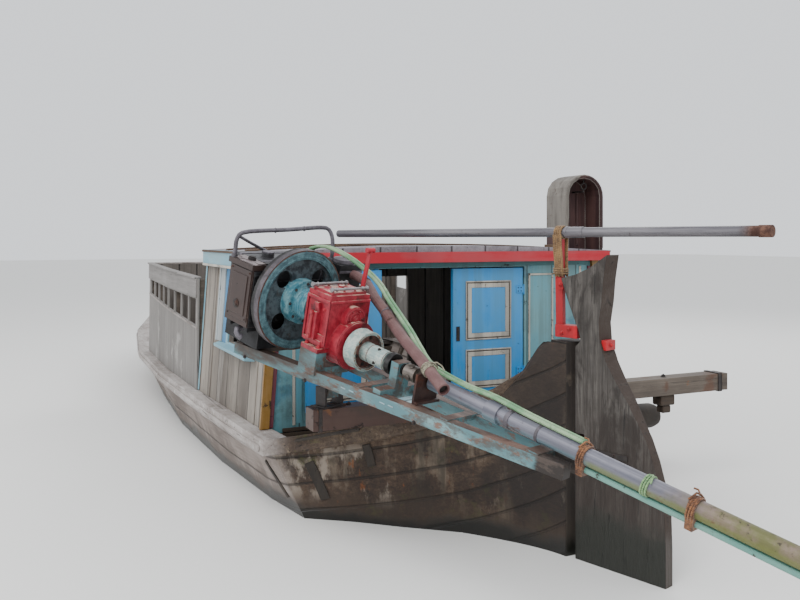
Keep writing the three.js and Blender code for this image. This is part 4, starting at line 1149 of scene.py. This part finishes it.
# Half breadths at the horn and at the fore end, thickness, how proud of the hull and how bowed they are
CHEEK_START, CHEEK_END, CHEEK_THICK = 0.0735, 0.24, 0.022
CHEEK_PROUD, CHEEK_BOW = 0.003, 1.35


def cheek_top(y):
    for (y0, z0), (y1, z1) in zip(CHEEK_TOP, CHEEK_TOP[1:]):
        if y <= y1:
            return z0 + (z1 - z0) * (y - y0) / (y1 - y0)
    return CHEEK_TOP[-1][1]


def cheek_line(side, name, share):
    """(half breadth, y, z) along one line of a cheek, eased but never inside the hull."""
    nodes = ("hull_shell", "stern_post", f"gunwale_{name}")
    row = []
    for y in span(-4.598, -4.065, 15):
        z = CHEEK_FOOT + (cheek_top(y) - CHEEK_FOOT) * share
        row.append((half_breadth(nodes, side, y, z), y, z))
    end = 0.004 + (CHEEK_END if row[-1][0] is None else row[-1][0])
    line = []
    for i, (x, y, z) in enumerate(row):
        fair = CHEEK_START + (end - CHEEK_START) * (i / (len(row) - 1)) ** CHEEK_BOW
        line.append((max(fair, (x or 0) + CHEEK_PROUD), y, z))
    for _ in range(2):
        widths = [x for x, _, _ in line]
        for i in range(1, len(line) - 1):
            eased = (widths[i - 1] + 2 * widths[i] + widths[i + 1]) / 4
            line[i] = (max(eased, widths[i]), *line[i][1:])
    return line


def add_cheeks():
    """Fairing planks that carry the hull's quarters into the stern post's horn."""
    for side, name in SIDES:
        rings = []
        for share in span(0, 1, 13):
            line = cheek_line(side, name, share)
            rings.append([(side * x, y, z) for x, y, z in line]
                         + [(side * (x - CHEEK_THICK), y, z) for x, y, z in reversed(line)])
        Build().faces(rings).place(f"stern_cheek_{name}", "hull", 0.004, True)


TILLER_Z = 1.680


def add_rudder_parts():
    straps = Build()
    for z, reach in ((-0.200, -0.42), (0.620, -0.30)):
        for out, x0, x1, face in ((-1, -0.0495, -0.0452, -0.0495), (1, 0.0622, 0.0665, 0.0665)):
            straps.block((x0, reach, z - 0.062), (x1, -0.012, z - 0.034))
            straps.bolts([(face, y, z - 0.048) for y in (-0.10, -0.22)], (out, 0, 0), 0.008)
    straps.on_rudder("rudder_straps", "dark_iron", 0.0008)
    heads = [(-0.0302, y, z) for y, z in ((0.105, 1.155), (0.060, 1.178), (0.115, 1.405))]
    Build().bolts(heads, (-1, 0, 0), 0.009).on_rudder("rudder_iron_bolts", "red_iron")
    clamp = Build().block((-0.030, -0.168, 1.085), (0.050, -0.128, 1.135)).bolt((0.010, -0.168, 1.110), AFT)
    clamp.on_rudder("rudder_clamp", "red_iron", 0.005)
    sleeve = Build().drum((0, -0.012, TILLER_Z), (0, 0.100, TILLER_Z), 0.0285, 24)
    sleeve.drum((0, 0.084, TILLER_Z), (0, 0.100, TILLER_Z), 0.0305, 24)
    sleeve.on_rudder("tiller_sleeve", "tiller", 0.001, True)
    cap = Build().drum((0, -0.9905, TILLER_Z), (0, -0.930, TILLER_Z), 0.0275, 24)
    cap.on_rudder("tiller_end", "tiller", 0.002, True)
    wraps = Build()
    for y in (0.118, 0.130, 0.142, 0.154):
        wraps.ring((0, y, TILLER_Z), (0, 1, 0.06), 0.0305, 0.0062)
    for i, y in enumerate((0.112, 0.123, 0.134, 0.145, 0.156)):
        low = 1.446 + 0.006 * (i % 2)
        for out in (-1, 1):
            fall = ((0.0300, 0.004, 1.668), (0.0270, 0.004, 1.600), (0.0215, 0, 1.520), (0.0195, -0.002, low))
            wraps.tube([(out * x, y + dy, z) for x, dy, z in fall], 0.0060, 8)
    for z in (1.462, 1.474, 1.486):
        side = ((0.024, 0.106, 0), (0.027, 0.134, 0.003), (0.024, 0.164, 0.001))
        loop = [(-x, y, z + dz) for x, y, dz in side] + [(0.0, 0.171, z)]
        loop += [(x, y, z - dz) for x, y, dz in reversed(side)] + [(0.0, 0.101, z), (-0.024, 0.106, z)]
        wraps.tube(loop, 0.0050, 8)
    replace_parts(wraps.on_rudder("tiller_wraps", "lashing", 0, True), "tiller_lashing")


# Longtail: sizes are in metres in the tail's own frame, with -Y aft

def add_radiator():
    panel = Build().block((-0.3180, 0.101, -0.010), (-0.3122, 0.285, 0.262))
    panel.on_tail("radiator_panel", "radiator", 0.005, segments=4)
    inset = Build().block((-0.3225, 0.126, 0.016), (-0.3179, 0.262, 0.230))
    inset.on_tail("radiator_inset", "radiator", 0.004, segments=3)
    back = Build().block((-0.306, 0.0885, -0.034), (-0.236, 0.0948, 0.264))
    for z in span(0.0, 0.235, 9):
        back.block((-0.300, 0.0850, z), (-0.242, 0.0884, z + 0.010))
    back.on_tail("radiator_back", "block")
    plug = Build().drum((-0.3226, 0.198, 0.070), (-0.3265, 0.198, 0.070), 0.024, 28)
    plug.drum((-0.3265, 0.198, 0.070), (-0.3300, 0.198, 0.070), 0.017, 24)
    slot = frame_at((-0.3305, 0.198, 0.070), 0, 35)
    plug.block((-0.0025, -0.0145, -0.003), (0.0015, 0.0145, 0.003), slot)
    plug.bolts([(-0.3182, y, z) for z in (0.003, 0.249) for y in (0.113, 0.273)], (-1, 0, 0), 0.0042)
    plug.on_tail("radiator_plug", "dark_iron", 0.001)
    flakes = Build()
    for x, y, z, dx, dy, turn in (
        (-0.302, 0.150, 0.2985, 0.040, 0.060, 8), (-0.262, 0.140, 0.2990, 0.036, 0.048, -12),
        (-0.298, 0.262, 0.2985, 0.034, 0.050, -6), (-0.258, 0.236, 0.3000, 0.032, 0.058, 10),
        (-0.280, 0.200, 0.3020, 0.034, 0.044, 24),
    ):
        lie = frame_at((x + 0.010, y, z), turn, turn / 4)
        flakes.block((-dx / 1.6, -dy, -0.0012), (dx / 1.6, dy, 0.0016), lie)
    flakes.on_tail("radiator_flakes", "flakes", 0.0006)
    filler = Build().drum((-0.262, 0.190, 0.2972), (-0.262, 0.190, 0.316), 0.022, 24)
    filler.drum((-0.262, 0.190, 0.316), (-0.262, 0.190, 0.322), 0.017, 6)
    filler.on_tail("radiator_filler", "dark_iron", 0.001)
    bend = ((-0.232, 0.206, -0.078), (-0.270, 0.206, -0.072), (-0.290, 0.203, -0.076),
            (-0.2965, 0.195, -0.090), (-0.291, 0.186, -0.106), (-0.280, 0.180, -0.113))
    drain = Build().tube(bend, 0.0155, 14).drum((-0.284, 0.182, -0.1105), (-0.275, 0.1775, -0.116), 0.018)
    drain.on_tail("drain_pipe", "hoop", 0, True)
    lugs = Build()
    for y in (0.120, 0.275):
        lugs.block((-0.300, y - 0.018, -0.062), (-0.232, y + 0.018, -0.0385))
        lugs.bolt((-0.282, y, -0.062), DOWN, 0.008)
    lugs.on_tail("radiator_lugs", "block")
    brace = Build().tube([(-0.296, 0.286, 0.408), (-0.200, 0.310, 0.365), (-0.060, 0.330, 0.306)], 0.0085)
    brace.drum((-0.060, 0.330, 0.3005), (-0.060, 0.330, 0.310), 0.016).on_tail("hoop_brace", "hoop", 0, True)


FUEL_PIPES = (
    ((0.120, 0.100, 0.190), (0.120, 0.078, 0.215), (0.120, 0.072, 0.255), (0.120, 0.090, 0.282),
     (0.120, 0.112, 0.284)),
    ((-0.170, 0.100, 0.180), (-0.172, 0.076, 0.200), (-0.180, 0.070, 0.245), (-0.190, 0.084, 0.262),
     (-0.190, 0.112, 0.262)),
    ((0.236, 0.300, 0.196), (0.256, 0.300, 0.206), (0.262, 0.262, 0.212), (0.262, 0.214, 0.206),
     (0.260, 0.205, 0.170)),
)


def add_engine():
    fins = Build()
    for z in span(-0.005, 0.175, 9):
        fins.block((0.2402, 0.215, z), (0.2530, 0.390, z + 0.006))
        fins.block((-0.2370, 0.352, z), (-0.2302, 0.396, z + 0.006))
    fins.on_tail("crankcase_fins", "block", 0.001)
    cover = Build().block((-0.150, 0.0795, -0.015), (0.150, 0.0918, 0.155))
    cover.drum((0, 0.0915, 0.060), (0, 0.0700, 0.060), 0.105, 40)
    cover.bolts(circle(0, 0.0700, 0.060, 0.088, 8), AFT, 0.0065)
    cover.bolts([(x, 0.0795, z) for x in (-0.135, 0.135) for z in (0.0, 0.14)], AFT, 0.0065)
    cover.on_tail("crankcase_cover", "block", 0.003)
    straps = Build()
    for y in (0.155, 0.345):
        straps.block((-0.228, y - 0.012, 0.296), (0.203, y + 0.012, 0.3032))
        for x, out in ((-0.2255, -1), (0.2005, 1)):
            straps.block((x, y - 0.012, 0.207), (x + out * 0.0032, y + 0.012, 0.3032))
    straps.on_tail("tank_straps", "grey_iron", 0.001)
    cap = Build().drum((-0.120, 0.250, 0.3232), (-0.120, 0.250, 0.332), 0.030, 24)
    for a in turns(12):
        x, y = -0.120 + 0.030 * math.cos(a), 0.250 + 0.030 * math.sin(a)
        cap.drum((x, y, 0.3240), (x, y, 0.3315), 0.0035, 6)
    cap.on_tail("tank_cap", "grey_iron", 0.001)
    pipes = Build()
    for route in FUEL_PIPES:
        pipes.tube(route, 0.0045, 8)
    pipes.on_tail("fuel_pipes", "grey_iron", 0, True)
    cleaner = Build().drum((0.320, 0.130, 0.2904), (0.320, 0.130, 0.312), 0.060, 28)
    cleaner.drum((0.320, 0.130, 0.312), (0.320, 0.130, 0.322), 0.060, 28, 0.030)
    cleaner.bolt((0.320, 0.130, 0.322), UP, 0.009)
    for z in (0.075, 0.245):
        top = z + 0.014
        cleaner.blocks(
            ((0.238, 0.0565, z), (0.4025, 0.0598, top)), ((0.4002, 0.0565, z), (0.4034, 0.2035, top)),
            ((0.238, 0.2002, z), (0.4025, 0.2035, top)),
        )
    cleaner.on_tail("cleaner_fittings", "grey_iron", 0.0012)
    feet = Build()
    for x, y, z, size in ((-0.308, 0.285, 0.2974, 0.017), (0.276, 0.190, 0.2904, 0.022)):
        feet.drum((x, y, z), (x, y, z + 0.012), size, 20)
        feet.ring((x, y, z + 0.014), UP, 0.0140, 0.0024, 20, 6)
    feet.ring((-0.080, 0.2675, 0.4435), (1, -0.06, 0.07), 0.0130, 0.0022, 20)
    feet.ring((0.105, 0.2550, 0.4570), (1, -0.08, 0.07), 0.0130, 0.0022, 20)
    feet.on_tail("hoop_fittings", "grey_iron", 0, True)


def add_flywheel():
    x, z = AXLE
    bolts = Build().bolts(circle(x, -0.1304, z, 0.060, 6, 0.4), AFT, 0.0085)
    bolts.bolts(circle(x, -0.0402, z, 0.100, 8), AFT, 0.0058)
    bolts.drum((x, -0.1742, z), (x, -0.188, z), 0.026, 6)
    bolts.on_tail("flywheel_bolts", "dark_iron", 0, body="flywheel_body")
    lines = Build()
    for y, radius, thick, sides in (
        (-0.0006, 0.256, 0.0022, 96), (-0.0006, 0.232, 0.0022, 96), (-0.040, 0.082, 0.0030, 48),
        (0.010, 0.2705, 0.0014, 96), (0.048, 0.2705, 0.0014, 96),
    ):
        lines.ring((x, y, z), -AFT, radius, thick, sides, 6)
    lines.on_tail("flywheel_lines", "flywheel", 0, True, body="flywheel_body")
    ridges = Build()
    for y in (-0.060, -0.080, -0.100):
        ridges.ring((x, y, z), -AFT, 0.0795, 0.0034, 48, 6)
    ridges.on_tail("pulley_ridges", "hub_paint", 0, True, body="flywheel_body")


def add_gearbox():
    ribs = Build()
    for x, out in ((-0.150, -0.159), (0.105, 0.114)):
        ribs.blocks(
            ((x, -0.352, 0.206), (out, -0.173, 0.222)), ((x, -0.352, -0.014), (out, -0.173, 0.006)),
            ((x, -0.352, 0.006), (out, -0.340, 0.206)), ((x, -0.185, 0.006), (out, -0.173, 0.206)),
        )
    ribs.blocks(
        ((-0.152, -0.360, 0.206), (0.107, -0.3504, 0.222)),
        ((-0.152, -0.1748, 0.206), (0.107, -0.166, 0.222)),
        ((-0.1815, -0.290, 0.010), (-0.1502, -0.235, 0.150)),
    )
    ribs.prism([(-0.290, 0.150), (-0.235, 0.150), (-0.245, 0.196), (-0.280, 0.196)], "X", -0.1700, -0.1502)
    ribs.block((-0.168, -0.330, -0.018), (-0.1502, -0.225, 0.010))
    ribs.on_tail("gearbox_ribs", "gear", 0.005, segments=3)
    heads = [(x, y, 0.258) for x in (-0.124, -0.050, 0.020, 0.079) for y in (-0.325, -0.200)]
    lid = Build().bolts(heads, UP, 0.0062)
    lid.drum((-0.022, -0.266, 0.2582), (-0.022, -0.266, 0.266), 0.026, 6)
    lid.drum((-0.022, -0.266, 0.266), (-0.022, -0.266, 0.276), 0.016)
    lid.on_tail("gearbox_lid_bolts", "gear", 0.001)
    rods = Build()
    z = 0.2715
    for y, x0, x1 in ((-0.205, -0.158, 0.060), (-0.322, -0.128, 0.100)):
        sag = ((x0 / 2, y - 0.002, z + 0.001), (x1 / 2, y, z + 0.001))
        rods.tube([(x0, y, z), *sag, (x1, y, z)], 0.0068, 12)
        for x in (x0 - 0.006, x1 - 0.006):
            rods.drum((x, y, z), (x + 0.012, y, z), 0.0125, 6)
        for x in (x0 + 0.030, x1 - 0.030):
            rods.ring((x, y, z), (1, 0, 0), 0.0085, 0.003, 16, 6)
    rods.on_tail("gearbox_rods", "steel_rods", 0.0005, True)
    rings = Build()
    for x, y, z, radius, thick, sides in (
        (0, -0.300, 0, 0.1235, 0.0040, 64), (0, -0.410, 0, 0.1235, 0.0030, 64),
        (-0.005, -0.3856, 0.128, 0.056, 0.0036, 44), (-0.005, -0.3856, 0.128, 0.0345, 0.0036, 44),
    ):
        rings.ring((x, y, z), -AFT, radius, thick, sides)
    rings.drum((-0.005, -0.3854, 0.128), (-0.005, -0.3905, 0.128), 0.018, 24)
    rings.drum((-0.005, -0.3905, 0.128), (-0.005, -0.3950, 0.128), 0.009, 6)
    rings.bolts(circle(-0.005, -0.3852, 0.128, 0.0465, 6), AFT, 0.0042)
    rings.on_tail("gearbox_rings", "gear", 0, True)
    column = [(-0.1850, -0.262, 0.030), (-0.1885, -0.262, 0.080), (-0.1850, -0.262, 0.140)]
    bolts = Build().tube(column, 0.0085)
    for z in (0.024, 0.146):
        bolts.drum((-0.1815, -0.262, z), (-0.1960, -0.262, z), 0.0120, 6)
    bolts.bolts([(-0.1505, -0.312, 0.168), (-0.1505, -0.212, 0.030)], (-1, 0, 0), 0.0070)
    bolts.bolts([(x, y, -0.0228) for x in (-0.170, 0.170) for y in (-0.325, -0.235)], UP, 0.0095)
    bolts.on_tail("gearbox_bolts", "lever", 0)
    port = Build().drum((0.068, -0.3504, 0.040), (0.068, -0.368, 0.040), 0.024, 24)
    port.drum((0.068, -0.368, 0.040), (0.068, -0.374, 0.040), 0.015, 6).on_tail("gearbox_port_plug", "gear")
    boot = Build().drum((0.118, -0.262, 0.1485), (0.119, -0.262, 0.172), 0.0225, 20)
    boot.ring((0.1195, -0.262, 0.175), (0.08, 0, 1), 0.0165, 0.0045, 24)
    boot.on_tail("lever_boot", "dark_iron", 0, True)


def add_coupling():
    def turning(build, name, material, bevel=0.0, smooth=True):
        build.on_tail(name, material, bevel, smooth, body="shaft_body")

    bolts = Build().bolts(circle(0, -0.4922, 0, 0.067, 6, 0.3), AFT, 0.0068)
    for out in circle(0, 0, 0, 1, 4, 0.4):
        bolts.bolt(AFT * 0.600 + out * 0.048, out, 0.0060)
    turning(bolts, "coupling_bolts", "dark_iron", smooth=False)
    rings = Build()
    for y, radius, sides in (
        (-0.440, 0.0995, 64), (-0.503, 0.0995, 64), (-0.545, 0.0475, 40), (-0.655, 0.0475, 40),
    ):
        rings.ring((0, y, 0), -AFT, radius, 0.0026, sides)
    turning(rings, "coupling_rings", "coupling")
    collar = Build().drum((0, -0.6605, 0), (0, -0.676, 0), 0.036, 28, 0.054)
    turning(collar.drum((0, -0.676, 0), (0, -0.706, 0), 0.054, 28), "shaft_collar", "grease", 0.003)
    pins = Build()
    centre = AFT * 0.825
    for a in (0.4, 0.4 + math.pi / 2):
        out = Vector((math.cos(a), 0, math.sin(a)))
        pins.drum(centre - out * 0.0425, centre + out * 0.0425, 0.011, 16)
        pins.ring(centre + out * 0.0405, out, 0.014, 0.002, 20, 6)
        pins.ring(centre - out * 0.0405, out, 0.014, 0.002, 20, 6)
    turning(pins, "shaft_joint_pins", "shaft")
    seals = Build()
    for y, end in ((-0.7148, -0.7063), (-0.7652, -0.7737)):
        seals.drum((0, y, 0), (0, end, 0), 0.0285, 28)
    turning(seals, "bearing_seals", "grease", 0.001)


# The rails' fore end and their length
RAIL_FORE_Y, RAIL_LENGTH = 0.300, 2.050


def along_rails(start, end, y):
    """A measure of the frame's rails, from its value at their fore end to the one at their aft end."""
    return start + (end - start) * (RAIL_FORE_Y - y) / RAIL_LENGTH


def rail_top(y):
    return along_rails(-0.214, -0.072, y)


def rail_side(y):
    return along_rails(0.199, 0.052, y)


def add_engine_frame():
    bars, bolts = Build(), Build()
    for y in (-0.545, -0.600, -0.800, -0.852):
        x, z = rail_side(y), rail_top(y)
        bars.block((-x - 0.030, y - 0.017, z + 0.0005), (x + 0.030, y + 0.017, z + 0.0060))
        bolts.bolts([(-x, y, z + 0.0060), (x, y, z + 0.0060)], UP, 0.0085)
    bars.on_tail("cross_bars", "pale_bars")
    for y in (0.200, -0.280, -1.000):
        for side, _ in SIDES:
            start = TAIL @ Vector((side * 0.6, y, rail_top(y) - 0.030))
            place, _ = hit("engine_frame", start, TAIL.to_3x3() @ Vector((-side, 0, 0)))
            if place is not None:
                bolts.bolt(TAIL.inverted() @ place, (side, 0, 0), 0.0075)
    bolts.on_tail("rail_bolts", "dark_iron", 0)


HUB_Y = -4.540
BLADE_ROOT, BLADE_LENGTH = 0.020, 0.1185


def blade_section(spin, r):
    """The outline of a propeller blade at a distance from the hub's middle."""
    reach = (r - BLADE_ROOT) / BLADE_LENGTH
    chord = 0.030 + 0.052 * math.sin(math.pi * min(1, 0.22 + 0.66 * reach)) * (1 if reach < 0.98 else 0.5)
    chord = min(chord, 0.078)
    thick = 0.0075 * (1 - 0.78 * reach) + 0.0012
    pitch = math.atan2(0.062, r)
    ring = []
    for a in turns(14):
        u = math.cos(a) * chord / 2
        v = math.sin(a) * thick / 2 * (1 - 0.35 * math.cos(a))
        along = u * math.sin(pitch) * 0.62 + v * math.cos(pitch)
        ring.append(spin @ Vector((u * math.cos(pitch) - v * math.sin(pitch), HUB_Y + along, r)))
    return ring


def add_propeller():
    screw = Build()
    for turn in (0, 120, 240):
        spin = Matrix.Rotation(math.radians(turn), 4, "Y")
        screw.faces([blade_section(spin, r) for r in span(BLADE_ROOT, 0.1385, 9)])
    screw.drum((0, -4.5003, 0), (0, -4.580, 0), 0.032, 32, 0.029)
    screw.drum((0, -4.5795, 0), (0, -4.589, 0), 0.022, 6)
    screw.drum((0, -4.589, 0), (0, -4.600, 0), 0.012, 18, 0.009)
    blades = screw.on_tail("propeller_blades", "propeller", 0.0008, True, body="shaft_body")
    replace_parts(blades, "propeller")


# Loose ends of cord: (route, radius). The bands' routes are given off each band's own place
BAND_ENDS = (
    (((0.026, -0.026, 0.036), (0.012, -0.018, 0.050), (-0.006, -0.010, 0.056), (-0.020, -0.006, 0.046),
      (-0.030, 0.004, 0.032)), 0.0040),
    (((0.006, -0.020, 0.048), (0.018, -0.004, 0.060), (0.010, 0.010, 0.062)), 0.0036),
)
TIE_END = ((0.010, -2.060, 0.038), (-0.004, -2.072, 0.046), (-0.022, -2.080, 0.043), (-0.036, -2.084, 0.026))
KNOT_ENDS = (
    (((-0.045, -0.950, 0.104), (-0.014, -0.952, 0.096), (0.006, -0.958, 0.080), (0.014, -0.966, 0.060)),
     0.0040),
    (((-0.050, -0.966, 0.104), (-0.030, -0.984, 0.110), (-0.012, -1.000, 0.098), (-0.004, -1.012, 0.080)),
     0.0036),
)


def add_tail_fittings():
    def bound(build, name, material, bevel=0.0, smooth=True):
        build.on_tail(name, material, bevel, smooth)

    wraps = Build()
    for y in (-1.770, -2.230, -3.640):
        for step in (-0.010, 0.0, 0.010):
            wraps.ring((0, y - 0.015 + step, -0.004), (0, 1, 0.10), 0.0455, 0.0036, 32)
        for route, radius in BAND_ENDS:
            wraps.tube([(x, y + dy, z) for x, dy, z in route], radius, 8)
    bound(wraps, "band_wraps", "rope")
    green = Build()
    for step in (-0.010, 0.0, 0.010):
        green.ring((0, -2.060 + step, 0), (0, 1, 0.08), 0.0385, 0.0040)
    green.tube(TIE_END, 0.0035, 8)
    bound(green, "tube_tie", "green_tie")
    straps = Build().drum((0, -1.400, 0), (0, -1.422, 0), 0.0385, 32)
    straps.drum((0, -1.560, 0), (0, -1.574, 0), 0.0375, 32).bolt((-0.010, -1.411, 0.038), (-0.2, 0, 1), 0.006)
    bound(straps, "tube_straps", "grey_iron", 0.001)
    clips = Build()
    for at, out in (
        ((0.326, -0.070, 0.2230), (-0.30, -0.93, -0.18)), ((0.172, -0.420, 0.1580), (-0.46, -0.87, -0.16)),
    ):
        clips.ring(at, out, 0.0285, 0.0028)
        clips.bolt(Vector(at) + Vector((0.0, 0.0, 0.030)), (0.2, 0, 1), 0.005)
    bound(clips, "exhaust_clips", "grey_iron")
    knot = Build()
    for step in (-0.016, -0.006, 0.004, 0.014):
        at = (-0.052 + step * 0.36, -0.962 + step * 0.90, 0.0715 + step * 0.2)
        knot.ring(at, (-0.36, -0.90, -0.20), 0.0295, 0.0038)
    for route, radius in KNOT_ENDS:
        knot.tube(route, radius, 8)
    bound(knot, "exhaust_tie", "white_tie")
    mouth = Build().ring((-0.1085, -1.1165, 0.0405), (-0.33, -0.93, -0.16), 0.0262, 0.0030)
    bound(mouth, "exhaust_lip", "exhaust")
    # Painted shade: a near-black plug in the pipe's mouth stands in for the shade down the pipe, along with
    # its soot.
    soot_and_shade = Build().drum((-0.1040, -1.1035, 0.0433), (-0.0906, -1.0665, 0.0507), 0.0212, 24)
    bound(soot_and_shade, "exhaust_soot_and_shade", "soot_and_shade", smooth=False)


for make in (
    add_cabin_sides, add_bulwarks, add_aft_wall, add_doors, add_roof,
    add_hull_parts, add_decks, add_beam_parts, add_cheeks, add_rudder_parts,
    add_radiator, add_engine, add_flywheel, add_gearbox, add_coupling,
    add_engine_frame, add_propeller, add_tail_fittings,
):
    make()


# Floor, sky and lamps

FLOOR_REACH = 60
FLOOR_GAP = 0.006
HULL_ENDS = (-4.595, 4.35)
SKY_COLOUR, SKY_STRENGTH = (0.93, 0.96, 1.0, 1), 1.25
# (name, place, what it looks at, size in metres, watts)
LAMPS = (
    ("key", (-5.0, -8.5, 8.0), (-0.4, -3.6, 0.8), 5.0, 640),
    ("fill", (-10.0, 0.5, 6.0), (-1.0, -2.0, 0.6), 6.0, 300),
    ("rim", (7.0, 3.0, 8.5), (0.0, -2.0, 1.0), 7.0, 420),
)


def add_floor():
    """A floor that lies at the waterline and stops at the hull, so that the hold stays open."""
    inner = []
    ahead = span(*HULL_ENDS, 70)
    for side, rows in ((1, ahead), (-1, ahead[::-1])):
        for y in rows:
            half = half_breadth(("hull_shell", "stern_post", "stem_post", "keel"), side, y, 0.0)
            if half is not None:
                inner.append((side * max(half - FLOOR_GAP, 0.002), y, 0))
    outer = []
    for x, y, _ in inner:
        reach = FLOOR_REACH / max(abs(x), abs(y - 0.01), 0.001)
        outer.append((x * reach, y * reach, 0))
    count = len(inner)
    faces = [(i, (i + 1) % count, count + (i + 1) % count, count + i) for i in range(count)]
    mesh = bpy.data.meshes.new("floor")
    mesh.from_pydata(inner + outer, [], faces)
    mesh.materials.append(Shade("floor_paper").finish(tone("ecebe8", depth=0.95), 0.9))
    new_object("floor", mesh)


def add_light():
    world = bpy.data.worlds.new("studio")
    world.use_nodes = True
    background = world.node_tree.nodes["Background"]
    background.inputs["Color"].default_value = SKY_COLOUR
    background.inputs["Strength"].default_value = SKY_STRENGTH
    bpy.context.scene.world = world
    for name, place, target, size, power in LAMPS:
        lamp = bpy.data.lights.new(name, "AREA")
        lamp.size = size
        lamp.energy = power
        obj = new_object(name, lamp)
        obj.location = place
        obj.rotation_euler = (Vector(target) - Vector(place)).to_track_quat("-Z", "Y").to_euler()


add_floor()
add_light()
